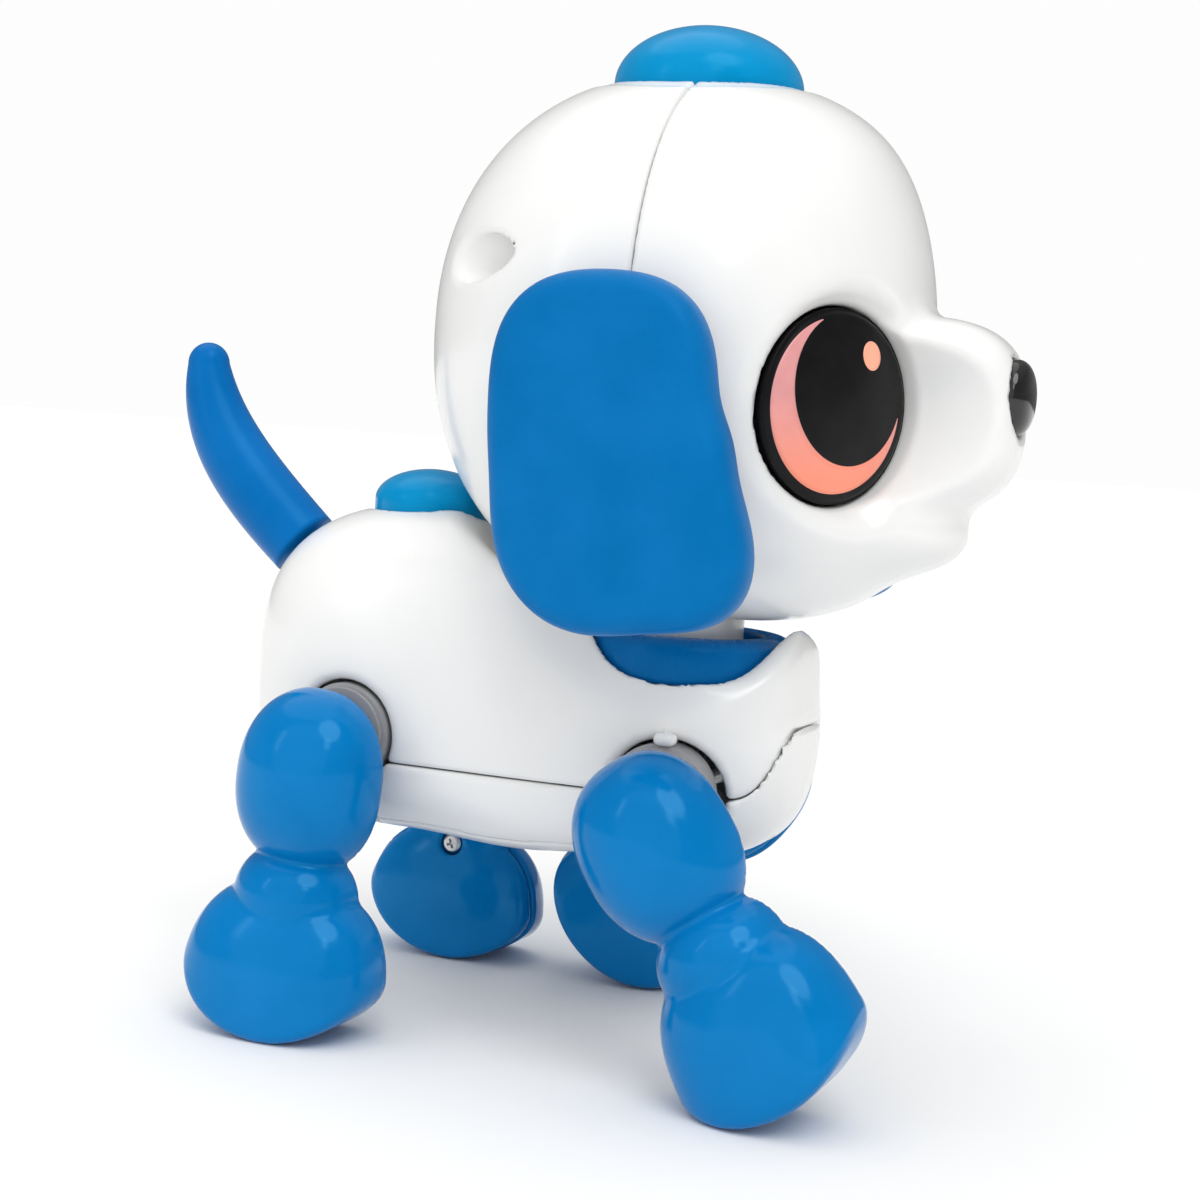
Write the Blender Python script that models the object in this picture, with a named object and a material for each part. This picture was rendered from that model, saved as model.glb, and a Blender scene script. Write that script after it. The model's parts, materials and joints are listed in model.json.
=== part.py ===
# Robot dog toy: moulded shells, legs, ears, electronics and drive parts.
# Lengths are in millimetres; meshes are written in metres.
# +X is the nose, +Y the dog's left, +Z up, and the feet end up standing on z = 0.
import bpy
import bmesh
import math
import numpy as np
from mathutils import Matrix, Vector

# ------------------------------------------------------------ shared sizes
MM = 0.001
X_SHIFT = 5.10            # puts the middle of the overall length on x = 0
FLOOR_Z = 1.4             # the soles are built at this level, then all is lowered onto z = 0
GAP = 0.3                 # clearance between neighbouring pieces
SLIDE_GAP = 0.35          # clearance round buttons, hubs and the tail
NECK_GAP = 0.4            # clearance round the neck stem
AXLE_GAP = 0.25           # clearance round the hip axles
PHASE = 0.113             # turns round meshes so no vertex sits on the mid plane
SMOOTH_ANGLE = 40.0       # edges sharper than this, in degrees, are shaded sharp
SIDES = ((-1, "right"), (1, "left"))

NECK_X = 13.6
NECK_R = 9.5
BUTTON_X, BUTTON_Z, BUTTON_R = 12.3, 142.6, 13.9     # button on the crown of the head
BACK_X, BACK_Z, BACK_R = -28.6, 79.2, 9.0            # button on the back
HIPS = {"front": (19.5, 41.60), "rear": (-30.5, 44.96)}      # x, z of each hip axle
AXLE_R = 1.5
HUB_R = 7.4

# sRGB colours
WHITE = (0.95, 0.95, 0.94)
BLUE = (0.05, 0.50, 0.77)
LEG_BLUE = (0.04, 0.46, 0.73)
GREY = (0.55, 0.56, 0.58)
DARK = (0.05, 0.05, 0.055)
STEEL = (0.72, 0.72, 0.74)
GREEN = (0.10, 0.36, 0.20)
LED_WHITE = (0.85, 0.85, 0.82)
CELL_GREY = (0.25, 0.26, 0.28)
GEAR_CREAM = (0.9, 0.88, 0.8)


# --------------------------------------------------------------- materials
def material(name, colour, roughness, metallic):
    linear = [c / 12.92 if c <= 0.04045 else ((c + 0.055) / 1.055) ** 2.4 for c in colour]
    mat = bpy.data.materials.new(name)
    mat.use_nodes = True
    shader = mat.node_tree.nodes["Principled BSDF"]
    shader.inputs["Base Color"].default_value = (*linear, 1.0)
    shader.inputs["Roughness"].default_value = roughness
    shader.inputs["Metallic"].default_value = metallic
    mat.diffuse_color = (*linear, 1.0)
    return mat


def dress(ob, colour, roughness, metallic=0.0):
    """Give a finished piece its own material and its shading."""
    ob.data.materials.clear()
    ob.data.materials.append(material(ob.name + "_finish", colour, roughness, metallic))
    ob.data.shade_smooth()
    ob.data.set_sharp_from_angle(angle=math.radians(SMOOTH_ANGLE))
    return ob


def dress_steel(ob, roughness):
    return dress(ob, STEEL, roughness=roughness, metallic=1.0)


# ------------------------------------------------------------- mesh makers
def new_object(name, verts, faces):
    mesh = bpy.data.meshes.new(name)
    mesh.from_pydata([tuple(float(c) * MM for c in v) for v in verts], [], faces)
    bm = bmesh.new()
    bm.from_mesh(mesh)
    bmesh.ops.recalc_face_normals(bm, faces=bm.faces[:])
    bm.to_mesh(mesh)
    bm.free()
    ob = bpy.data.objects.new(name, mesh)
    bpy.context.scene.collection.objects.link(ob)
    return ob


def ring_faces(ring_count, segments, closed=False):
    """Quads between successive rings; closed also joins the last ring to the first."""
    faces = []
    for i in range(ring_count if closed else ring_count - 1):
        start, after = i * segments, ((i + 1) % ring_count) * segments
        for j in range(segments):
            k = (j + 1) % segments
            faces.append((start + j, start + k, after + k, after + j))
    return faces


def ringed_solid(name, rings, first_pole, last_pole):
    """Solid skinned over rings, closed by a fan to a pole at either end."""
    segments = len(rings[0])
    verts = [v for ring in rings for v in ring] + [first_pole, last_pole]
    faces = ring_faces(len(rings), segments)
    last = (len(rings) - 1) * segments
    for j in range(segments):
        k = (j + 1) % segments
        faces.append((len(verts) - 2, k, j))
        faces.append((len(verts) - 1, last + j, last + k))
    return new_object(name, verts, faces)


def on_unit(direction, power):
    """Where a direction meets the unit superellipsoid."""
    return direction * (np.abs(direction) ** power).sum() ** (-1.0 / power)


def egg(name, centre, half, power, around=20, along=12):
    """Squarish egg with its poles on the x axis."""
    def place(*direction):
        unit = on_unit(np.array(direction), power)
        return tuple(centre[i] + unit[i] * half[i] for i in range(3))

    rings = []
    for i in range(1, along):
        v = math.pi * i / along
        ring = []
        for j in range(around):
            u = 2 * math.pi * j / around + PHASE
            ring.append(place(math.cos(v), math.sin(v) * math.cos(u), math.sin(v) * math.sin(u)))
        rings.append(ring)
    return ringed_solid(name, rings, place(1.0, 0.0, 0.0), place(-1.0, 0.0, 0.0))


def lathe(name, profile, segments=32, axis="z", at=(0, 0, 0)):
    """Closed profile of (radius, height) points turned about an axis."""
    verts, loops, faces = [], [], []
    for radius, height in profile:
        if radius < 1e-6:
            loops.append([len(verts)])
            verts.append((0.0, 0.0, height))
            continue
        loops.append(list(range(len(verts), len(verts) + segments)))
        for j in range(segments):
            angle = 2 * math.pi * j / segments + PHASE
            verts.append((radius * math.cos(angle), radius * math.sin(angle), height))
    for here, there in zip(loops, loops[1:] + loops[:1]):
        if len(here) == 1 and len(there) == 1:
            continue
        for j in range(segments):
            k = (j + 1) % segments
            if len(here) == 1:
                faces.append((here[0], there[j], there[k]))
            elif len(there) == 1:
                faces.append((here[j], here[k], there[0]))
            else:
                faces.append((here[j], here[k], there[k], there[j]))
    placed = []
    for x, y, z in verts:
        if axis == "x":
            x, y, z = z, x, y
        elif axis == "y":
            x, y, z = x, z, -y
        placed.append((x + at[0], y + at[1], z + at[2]))
    return new_object(name, placed, faces)


def cylinder(name, radius, start, end, segments=24, axis="z", at=(0, 0, 0)):
    return lathe(name, [(0, start), (radius, start), (radius, end), (0, end)],
                 segments, axis, at)


def tube(name, bore, radius, start, end, segments, axis, at=(0, 0, 0)):
    return lathe(name, [(bore, start), (radius, start), (radius, end), (bore, end)],
                 segments, axis, at)


def block(name, low, high):
    verts = [(x, y, z) for x in (low[0], high[0]) for y in (low[1], high[1])
             for z in (low[2], high[2])]
    faces = [(0, 1, 3, 2), (4, 6, 7, 5), (0, 4, 5, 1), (2, 3, 7, 6), (0, 2, 6, 4), (1, 5, 7, 3)]
    return new_object(name, verts, faces)


def screw(name, radii, stations, segments=14, axis="z", at=(0, 0, 0)):
    """radii: end of head, head, shank.  stations: end of head, its bevel, seat, shank end, tip."""
    end_r, head_r, shank_r = radii
    end, bevel, seat, shank_end, tip = stations
    ob = lathe(name, [(0, end), (end_r, end), (head_r, bevel), (head_r, seat), (shank_r, seat),
                      (shank_r, shank_end), (0, tip)], segments, axis, at)
    return dress_steel(ob, 0.35)


def button(name, x, z, radius, rise, dome_steps, inside, segments):
    """Domed button; inside lists (radius, height above z) from the stem to the skirt."""
    angles = [math.pi / 2 * i / dome_steps for i in range(dome_steps)]
    dome = [(radius * math.cos(a), rise * math.sin(a)) for a in angles] + [(0, rise)]
    ob = lathe(name, inside + dome, segments, "z", (x, 0, z))
    dress(ob, BLUE, roughness=0.25)
    set_origin(ob, (x, 0, z))


# ------------------------------------------------------- working on meshes
def open_edges(bm):
    return sum(1 for edge in bm.edges if len(edge.link_faces) != 2)


def cut(ob, tool, operation="DIFFERENCE", keep=False):
    """Exact boolean, falling back to the manifold solver when it leaves a hole."""
    best = None
    for solver in ("EXACT", "MANIFOLD"):
        modifier = ob.modifiers.new("cut", "BOOLEAN")
        modifier.operation = operation
        modifier.solver = solver
        modifier.object = tool
        bpy.context.view_layer.update()
        depsgraph = bpy.context.evaluated_depsgraph_get()
        mesh = bpy.data.meshes.new_from_object(ob.evaluated_get(depsgraph))
        ob.modifiers.clear()
        bm = bmesh.new()
        bm.from_mesh(mesh)
        faults = open_edges(bm)
        bm.free()
        # losing most of the faces counts as a failed solve
        if operation != "INTERSECT" and len(mesh.polygons) < 0.5 * len(ob.data.polygons):
            faults += 100000
        if best is None or faults < best[0]:
            best = (faults, mesh)
        if best[0] == 0:
            break
    mesh = best[1]
    # merge stray vertices, but only if that leaves the mesh closed
    bm = bmesh.new()
    bm.from_mesh(mesh)
    bmesh.ops.remove_doubles(bm, verts=bm.verts[:], dist=3e-6)
    bmesh.ops.dissolve_degenerate(bm, edges=bm.edges[:], dist=1e-6)
    if open_edges(bm) == 0:
        bm.to_mesh(mesh)
    bm.free()
    ob.data = mesh
    if not keep:
        bpy.data.objects.remove(tool, do_unlink=True)
    return ob


def duplicate(ob):
    twin = ob.copy()
    twin.data = ob.data.copy()
    bpy.context.scene.collection.objects.link(twin)
    return twin


def turned(ob, side):
    """Mirror a left-hand object to the side asked for (side -1 is the right)."""
    if side < 0:
        ob.data.transform(Matrix.Diagonal((1, -1, 1, 1)))
        ob.data.flip_normals()
    return ob


def set_origin(ob, at):
    """Moving pieces turn and slide about their own origins."""
    ob.data.transform(Matrix.Translation(-Vector(at) * MM))
    ob.location = Vector(at) * MM


def screw_joint(headed, threaded, core, axis, at, boss, bore, hole, post, pilot):
    """Boss with a screw hole in one shell, post with a pilot hole in the other.

    boss to pilot are (radius, start, end, segments) along the axis; the core
    trims boss and post so that they end inside the walls.
    """
    for shell, pillar, drills in ((headed, boss, (bore, hole)), (threaded, post, (pilot,))):
        column = cylinder("column", *pillar, axis, at)
        cut(column, core, "INTERSECT", keep=True)
        cut(shell, column, "UNION")
        for drill in drills:
            cut(shell, cylinder("drill", *drill, axis, at))


# --------------------------------------------------------- distance fields
# A field takes points and is negative inside a body.
def blend_min(first, second, width):
    mix = np.clip(0.5 + 0.5 * (second - first) / width, 0.0, 1.0)
    return second * (1 - mix) + first * mix - width * mix * (1 - mix)


def blend_max(first, second, width):
    return -blend_min(-first, -second, width)


def ellipsoid(points, centre, half, power):
    """Superellipsoid of given half sizes; a higher power is squarer."""
    scaled = np.abs((points - np.array(centre, float)) / np.array(half, float)) ** power
    return (scaled.sum(-1) ** (1.0 / power) - 1.0) * min(half)


def loaf(points, centre, half, plan, upper, lower):
    """Rounded loaf: plan power, with its own squareness above and below the centre."""
    scaled = np.abs((points - np.array(centre, float)) / np.array(half, float))
    rho = (scaled[..., 0] ** plan + scaled[..., 1] ** plan) ** (1.0 / plan)
    power = np.where(points[..., 2] > centre[2], upper, lower)
    return ((rho ** power + scaled[..., 2] ** power) ** (1.0 / power) - 1.0) * min(half)


def field_radius(field, centre, rays, nearest=4.0, farthest=80.0, steps=96):
    """Distance along each ray to the first crossing: a march, then bisection."""
    marks = np.linspace(nearest, farthest, steps)
    inside = np.full(len(rays), nearest)
    outside = np.full(len(rays), farthest)
    searching = np.ones(len(rays), bool)
    for before, after in zip(marks[:-1], marks[1:]):
        hit = searching & (field(centre + rays * after) > 0)
        inside[hit] = before
        outside[hit] = after
        searching &= ~hit
    for _ in range(18):
        middle = 0.5 * (inside + outside)
        value = field(centre + rays * middle[:, None])
        inside = np.where(value > 0, inside, middle)
        outside = np.where(value > 0, middle, outside)
    return 0.5 * (inside + outside)


def skin(field, centre, axis, inset, polar, turn):
    """Points inset from a field's surface; polar is the angle off the + axis."""
    centre = np.array(centre, float)
    along, across = np.cos(polar), np.sin(polar)
    if axis == "x":
        rays = np.stack([along, across * np.cos(turn), across * np.sin(turn)], -1)
    else:
        rays = np.stack([across * np.cos(turn), across * np.sin(turn), along], -1)
    return centre + rays * (field_radius(field, centre, rays) - inset)[:, None]


def skin_pole(field, centre, axis, inset, polar):
    return skin(field, centre, axis, inset, np.array([polar]), np.array([0.0]))[0]


def skin_turns(segments):
    return np.linspace(0, 2 * math.pi, segments, endpoint=False) + PHASE / 2


def shell_half(name, field, centre, axis, seam, sign, rows, segments, wall, crowd=1.0):
    """Hollow half shell up to the seam.  sign +1 is the half at the + pole.

    crowd above 1 packs the rows closer towards the pole.
    """
    turn = skin_turns(segments)

    def surface_rows(inset):
        low = np.full(segments, math.radians(45.0))
        high = np.full(segments, math.radians(135.0))
        for _ in range(16):
            middle = 0.5 * (low + high)
            over = seam(skin(field, centre, axis, inset, middle, turn)) - sign * GAP / 2
            low = np.where(over > 0, middle, low)
            high = np.where(over > 0, high, middle)
        edge = 0.5 * (low + high)
        found = []
        for i in range(1, rows + 1):
            part = (i / rows) ** crowd
            polar = edge * part if sign > 0 else math.pi - (math.pi - edge) * part
            found.append(skin(field, centre, axis, inset, polar, turn))
        return found

    pole = 0.0 if sign > 0 else math.pi
    return ringed_solid(name, surface_rows(0.0) + surface_rows(wall)[::-1],
                        skin_pole(field, centre, axis, 0.0, pole),
                        skin_pole(field, centre, axis, wall, pole))


def full_solid(name, field, centre, axis, inset, rows, segments):
    turn = skin_turns(segments)
    rings = [skin(field, centre, axis, inset, np.full(segments, math.pi * i / rows), turn)
             for i in range(1, rows)]
    return ringed_solid(name, rings, skin_pole(field, centre, axis, inset, 0.0),
                        skin_pole(field, centre, axis, inset, math.pi))


# -------------------------------------------------------------------- head
HEAD_WALL = 2.0
HEAD_C = (11.0, 0.0, 98.0)        # centre the rear head wall is measured from
FACE_C = (24.0, 0.0, 98.0)        # centre the front head wall is measured from
SEAM_X = 15.5                     # head shells meet on this plane
CORE_INSET = 0.8                  # bosses and posts end this far below the outer surface
# bodies: centre, half sizes, squareness
CRANIUM = ((11.3, 0, 105.4), (36.4, 35.2, 39.0), 2.2)
JAW = ((28.8, 0, 86.8), (21.5, 24.0, 20.0), 2.1)
LIP = ((46.0, 0, 80.5), (9.5, 11.0, 6.0), 2.0)
MUZZLE = ((45.5, 0.0, 97.3), (16.8, 10.8, 13.9), 2.9)
MUZZLE_BACK = 45.3                # the muzzle is cut off behind this x
MUZZLE_CAVITY = ((49.0, 0, MUZZLE[0][2]), (10.6, 4.1, 8.6), 2.4)
# swelling of the forehead: middle x and z, height, spread in side view and across
FOREHEAD_X, FOREHEAD_Z, FOREHEAD_RISE = 38.0, 135.0, 2.1
FOREHEAD_SPREAD, FOREHEAD_SPREAD_Y = 220.0, 500.0

EYE_C = (40.9, 17.6, 97.4)        # centre of the left eye
EYE_YAW = 29.0                    # eye faces this many degrees outward of straight ahead
EYE_R = 13.4
WELL_R, WELL_FLARE = 14.3, 2.4    # pocket round the eye, and how much it widens outward
WELL_FLARE_START, WELL_FLARE_RUN = 1.0, 3.2
WELL_DEPTH = 1.2
EAR_PEG_X, EAR_PEG_Z = 21.5, 103.0
NOSE_Z = 100.3

# head screws: y, z, x of the screw seat, x the post reaches for
HEAD_SCREWS = [(28.4, 114.9, -1.0, 40.0), (-28.4, 114.9, -1.0, 40.0), (0.0, 81.5, 0.0, 60.0)]


def eye_frame(side):
    """Centre of an eye and the direction it faces."""
    yaw = math.radians(EYE_YAW)
    facing = np.array([math.cos(yaw), side * math.sin(yaw), 0.0])
    return np.array([EYE_C[0], side * EYE_C[1], EYE_C[2]]), facing


def eye_matrix(side):
    centre, facing = eye_frame(side)
    turn = Vector(facing).to_track_quat("Z", "Y").to_matrix().to_4x4()
    return Matrix.Translation(Vector(centre) * MM) @ turn


def eye_well(points, side):
    """Round pocket the eye sits in, square to the eye's face."""
    centre, facing = eye_frame(side)
    offset = points - centre
    depth = offset @ facing
    radial = np.sqrt(np.maximum((offset * offset).sum(-1) - depth * depth, 0.0))
    flare = WELL_FLARE * np.clip((depth + WELL_FLARE_START) / WELL_FLARE_RUN, 0, 1)
    return blend_max(radial - (WELL_R + flare), -(depth + WELL_DEPTH), 1.5)


def head_field(points):
    field = blend_min(ellipsoid(points, *CRANIUM), ellipsoid(points, *JAW), 7.0)
    for side, _ in SIDES:
        field = blend_max(field, -eye_well(points, side), 3.0)
    x, y, z = points[..., 0], points[..., 1], points[..., 2]
    spread = ((x - FOREHEAD_X) ** 2 + (z - FOREHEAD_Z) ** 2) / FOREHEAD_SPREAD
    field = field - FOREHEAD_RISE * np.exp(-spread - y ** 2 / FOREHEAD_SPREAD_Y)
    return blend_min(field, ellipsoid(points, *LIP), 4.0)


def head_seam(points):
    return points[:, 0] - SEAM_X


def head_screw_joints(front, rear):
    core = full_solid("head_core", head_field, HEAD_C, "x", CORE_INSET, 13, 20)
    for i, (y, z, seat, post_end) in enumerate(HEAD_SCREWS, 1):
        at = (0, y, z)
        screw_joint(rear, front, core, "x", at,
                    boss=(4.6, -30.0, SEAM_X - GAP / 2 - 0.05, 9),
                    bore=(3.4, -40.0, seat, 12),
                    hole=(1.5, -5.0, 30.0, 7),
                    post=(3.2, SEAM_X + GAP / 2 + 0.05, post_end, 8),
                    pilot=(1.25, 10.0, SEAM_X + 8.0, 7))
        screw("head_screw_%d" % i, (2.0, 2.7, 1.1),
              (seat - 2.0, seat - 1.3, seat - 0.1, SEAM_X + 6.5, SEAM_X + 7.5), axis="x", at=at)
    bpy.data.objects.remove(core, do_unlink=True)


def stretch_nose(ob, half_width, half_height):
    """Turn a unit-radius lathe about x into an oval at the height of the nose."""
    ob.data.transform(Matrix.Translation((0, 0, NOSE_Z * MM))
                      @ Matrix.Diagonal((1, half_width, half_height, 1)))
    return ob


def head_openings(front, rear):
    """Holes for neck, crown button, ears, eyes and nose; the muzzle joins the front."""
    for ob in (front, rear):
        cut(ob, cylinder("neck", NECK_R + NECK_GAP, 50, 76, 28, "z", (NECK_X, 0, 0)))
        cut(ob, cylinder("crown", BUTTON_R + SLIDE_GAP, 136.5, 160, 32, "z", (BUTTON_X, 0, 0)))
    muzzle = egg("muzzle", *MUZZLE, 18, 10)
    cut(muzzle, block("back", (0, -30, 60), (MUZZLE_BACK, 30, 130)))
    cut(muzzle, egg("cavity", *MUZZLE_CAVITY, 12, 8))
    cut(front, muzzle, "UNION")
    for side, _ in SIDES:
        cut(front, cylinder("peg_hole", 2.9, 20 * side, 60 * side, 14, "y",
                            (EAR_PEG_X, 0, EAR_PEG_Z)))
        eye_hole = cylinder("eye_hole", EYE_R + GAP, -9.0, 20.0, 32, "z")
        eye_hole.data.transform(eye_matrix(side))
        cut(front, eye_hole)
    cut(front, stretch_nose(cylinder("nose_hole", 1.0, 57.2, 75.0, 24, "x"), 5.25, 5.6))


def build_head_shells():
    front = shell_half("head_front_shell", head_field, FACE_C, "x", head_seam, 1, 13, 32,
                       HEAD_WALL, crowd=1.37)
    rear = shell_half("head_rear_shell", head_field, HEAD_C, "x", head_seam, -1, 6, 32,
                      HEAD_WALL)
    head_screw_joints(front, rear)
    head_openings(front, rear)
    for ob in (front, rear):
        dress(ob, WHITE, roughness=0.18)


def build_eye(side, word):
    lens = lathe(word + "_eye_lens",
                 [(0, 1.3), (5.0, 1.05), (9.5, 0.35), (12.2, -0.45), (EYE_R, -1.1),
                  (EYE_R, -2.4), (11.8, -3.4), (0, -3.4)], 20)
    lens.data.transform(eye_matrix(side))
    dress(lens, DARK, roughness=0.12)
    board = lathe(word + "_eye_led_board", [(0, -6.2), (7.5, -6.2), (7.5, -7.4), (0, -7.4)], 20)
    cut(board, block("chip", (-2.0, -2.0, -6.4), (2.0, 2.0, -5.0)), "UNION")
    board.data.transform(eye_matrix(side))
    dress(board, LED_WHITE, roughness=0.5)


def build_nose():
    nose = lathe("nose", [(0, 63.6), (0.35, 63.45), (0.68, 62.9), (0.9, 61.9), (0.95, 60.6),
                          (0.95, 57.6), (0, 57.6)], 24, "x")
    dress(stretch_nose(nose, 5.15, 5.55), DARK, roughness=0.15)


def build_head_button():
    button("head_button", BUTTON_X, BUTTON_Z, BUTTON_R, rise=9.0, dome_steps=5, segments=20,
           inside=[(0, -9.5), (2.0, -9.5), (2.0, 6.4), (6.0, 5.4), (9.8, 2.8), (11.9, -1.0),
                   (11.9, -8.2), (16.2, -8.2), (16.2, -6.9), (BUTTON_R, -6.9)])


def build_head_electronics():
    switch = block("head_button_switch", (BUTTON_X - 3, -3, BUTTON_Z - 15.0),
                   (BUTTON_X + 3, 3, BUTTON_Z - 11.6))
    dress(switch, DARK, roughness=0.5)
    board = block("head_board", (-8, -15, BUTTON_Z - 16.6), (32, 15, BUTTON_Z - 15.2))
    dress(board, GREEN, roughness=0.5)
    speaker = lathe("speaker", [(0, -7.0), (8, -7.0), (8, -3.0), (13.5, -0.8), (13.5, 0.8),
                                (11.5, 0.8), (9.0, -0.6), (4, -0.2), (0, 0.6)],
                    18, "x", (-12.0, 0, 100.0))
    dress(speaker, DARK, roughness=0.5)
    dress_steel(cylinder("microphone", 3.0, 41.8, 44.8, 16, "x", (0, 0, 88.0)), 0.4)


# -------------------------------------------------------------------- ears
EAR_X, EAR_Y, EAR_Z = 18.45, 40.0, 89.5     # middle of the left ear
EAR_HALF = 4.0                              # half thickness
EAR_CROWN = 0.5                             # extra thickness at the middle of the outer face
EAR_RIM = 3.6                               # width of the rounded rim
# outline radius about the ear's middle: mean, then (cosine, sine) of 1, 2, 3... waves
EAR_MEAN_R = 21.3
EAR_WAVES = [(-1.92, -1.16), (-3.62, -2.1), (0.09, -0.72), (-0.89, -0.28), (-0.03, 0.28),
             (0.27, 0.48)]


def build_ear(side, word, segments=28, rim_steps=4):
    angles = np.linspace(0, 2 * math.pi, segments, endpoint=False)
    outline = EAR_MEAN_R + sum(c * np.cos(k * angles) + s * np.sin(k * angles)
                               for k, (c, s) in enumerate(EAR_WAVES, 1))
    # each station: outline radii, distance outward from the middle plane
    halfway = (outline - EAR_RIM) * 0.5
    stations = [(halfway, EAR_HALF + EAR_CROWN * (1 - 0.5 ** 2))]
    for i in range(rim_steps + 1):
        v = math.pi / 2 - math.pi * i / rim_steps
        stations.append((outline - EAR_RIM * (1 - math.cos(v)), EAR_HALF * math.sin(v)))
    stations.append((halfway, -EAR_HALF))
    rings = [[(EAR_X + r * math.cos(a), side * (EAR_Y + outward), EAR_Z + r * math.sin(a))
              for r, a in zip(radii, angles)] for radii, outward in stations]
    ear = ringed_solid(word + "_ear", rings,
                       (EAR_X, side * (EAR_Y + EAR_HALF + EAR_CROWN), EAR_Z),
                       (EAR_X, side * (EAR_Y - EAR_HALF), EAR_Z))
    peg = cylinder("peg", 2.6, *sorted((26 * side, 38 * side)), 14, "y",
                   (EAR_PEG_X, 0, EAR_PEG_Z))
    cut(ear, peg, "UNION")
    dress(ear, BLUE, roughness=0.45)


# ------------------------------------------------------------------- torso
TORSO_C = (-11.0, 0.0, 50.0)      # centre the torso walls are measured from
TOP_WALL, BOTTOM_WALL = 1.8, 1.7
# loaves: centre, half sizes, squareness in plan, above and below
REAR_LOAF = ((-23.5, 0, 54.2), (29.6, 22.0, 24.8), 2.7, 2.6, 3.6)
FRONT_LOAF = ((8.5, 0, 47.6), (25.0, 20.6, 17.5), 2.4, 2.0, 3.6)
# bodies: centre, half sizes, squareness
CHEST = ((20.5, 0.0, 54.0), (13.5, 15.0, 18.0), 3.0)
HEAD_ROOM = ((10.0, 0, 105.0), (38.3, 36.7, 41.2), 2.1)      # hollow under the head
COLLAR_X = 14.8                   # middle of the collar and of the cup it sits in
COLLAR_SEAT_R = 16.6
COLLAR_SEAT_Z = 56.2
RIM_BASE, RIM_TOP = 54.75, 66.2   # the rim at the front of the cup, before trimming

TORSO_SCREWS = [(-44.5, 9.5), (-44.5, -9.5), (27.2, 0.0)]    # x, y
TORSO_SCREW_SEAT = 36.0

# centre line of the tail, from inside the torso to the tip
TAIL_PATH = ((-46.0, 0, 66.5), (-60.5, 0, 78.5), (-70.3, 0, 86.5), (-70.6, 0, 100.2))
TAIL_START, TAIL_SOCKET_START, TAIL_END = 0.12, 0.09, 0.955      # fractions of the path


def torso_field(points):
    body = blend_min(loaf(points, *REAR_LOAF), loaf(points, *FRONT_LOAF), 8.0)
    body = blend_min(body, ellipsoid(points, *CHEST), 4.0)
    field = blend_max(body, -ellipsoid(points, *HEAD_ROOM), 2.5)
    # flat seat for the collar
    radial = np.hypot(points[..., 0] - COLLAR_X, points[..., 1])
    seat = blend_max(radial - COLLAR_SEAT_R, COLLAR_SEAT_Z - points[..., 2], 0.6)
    return blend_max(field, -seat, 0.6)


def seam_z(x):
    """Height of the torso seam, which steps up smoothly towards the chest."""
    u = np.clip((x - 12.0) / 20.0, 0, 1)
    return 41.3 + 10.5 * u * u * (3 - 2 * u)


def torso_seam(points):
    return points[:, 2] - seam_z(points[:, 0])


def torso_screw_joints(top, bottom):
    core = full_solid("torso_core", torso_field, TORSO_C, "z", CORE_INSET, 13, 22)
    seat = TORSO_SCREW_SEAT
    for i, (x, y) in enumerate(TORSO_SCREWS, 1):
        seam = float(seam_z(x))
        at = (x, y, 0)
        screw_joint(bottom, top, core, "z", at,
                    boss=(3.9, 20.0, seam - 0.6 - GAP / 2, 9),
                    bore=(2.9, 10.0, seat, 10),
                    hole=(1.5, 30.0, 60.0, 7),
                    post=(3.2, seam + 1.6, 90.0, 8),
                    pilot=(1.25, 30.0, seam + 5.0, 7))
        screw("torso_screw_%d" % i, (1.8, 2.4, 1.1),
              (seat - 1.8, seat - 1.2, seat - 0.1, seam + 3.3, seam + 4.1), at=at)
    bpy.data.objects.remove(core, do_unlink=True)


def hip_openings(top, bottom):
    for x, z in HIPS.values():
        for side, _ in SIDES:
            for ob in (top, bottom):
                cut(ob, cylinder("hip", HUB_R + SLIDE_GAP, *sorted((12 * side, 30 * side)),
                                 28, "y", (x, 0, z)))


def top_openings(top):
    """Collar cup with its raised front rim, then neck, back button and tail holes."""
    collar_at = (COLLAR_X, 0, 0)
    rim = egg("rim", *CHEST, 24, 14)
    cut(rim, block("below", (-60, -40, 20), (60, 40, RIM_BASE)))
    cut(rim, block("above", (-60, -40, RIM_TOP), (60, 40, 90)))
    cut(rim, cylinder("cup", COLLAR_SEAT_R + 0.05, COLLAR_SEAT_Z - 0.2, 90, 32, "z", collar_at))
    cut(top, rim, "UNION")
    cut(top, cylinder("neck", NECK_R + NECK_GAP, 45, 80, 28, "z", (NECK_X, 0, 0)))
    cut(top, cylinder("seat", COLLAR_SEAT_R, COLLAR_SEAT_Z, 80, 32, "z", collar_at))
    cut(top, cylinder("back", BACK_R + SLIDE_GAP, 70, 95, 28, "z", (BACK_X, 0, 0)))
    cut(top, tail_horn("tail_socket", TAIL_SOCKET_START, SLIDE_GAP))


def build_torso_shells():
    """Builds both shells and hands back the bottom one, which the door is cut from."""
    top = shell_half("torso_top_shell", torso_field, TORSO_C, "z", torso_seam, 1, 9, 32,
                     TOP_WALL)
    bottom = shell_half("torso_bottom_shell", torso_field, TORSO_C, "z", torso_seam, -1, 5, 32,
                        BOTTOM_WALL)
    torso_screw_joints(top, bottom)
    hip_openings(top, bottom)
    top_openings(top)
    dress(top, WHITE, roughness=0.18)
    return bottom


def tail_centre(s):
    """Cubic curve along TAIL_PATH, s from 0 to 1."""
    p0, p1, p2, p3 = (np.array(p, float) for p in TAIL_PATH)
    s = np.asarray(s, float)[..., None]
    return ((1 - s) ** 3 * p0 + 3 * s * (1 - s) ** 2 * p1
            + 3 * s * s * (1 - s) * p2 + s ** 3 * p3)


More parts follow.
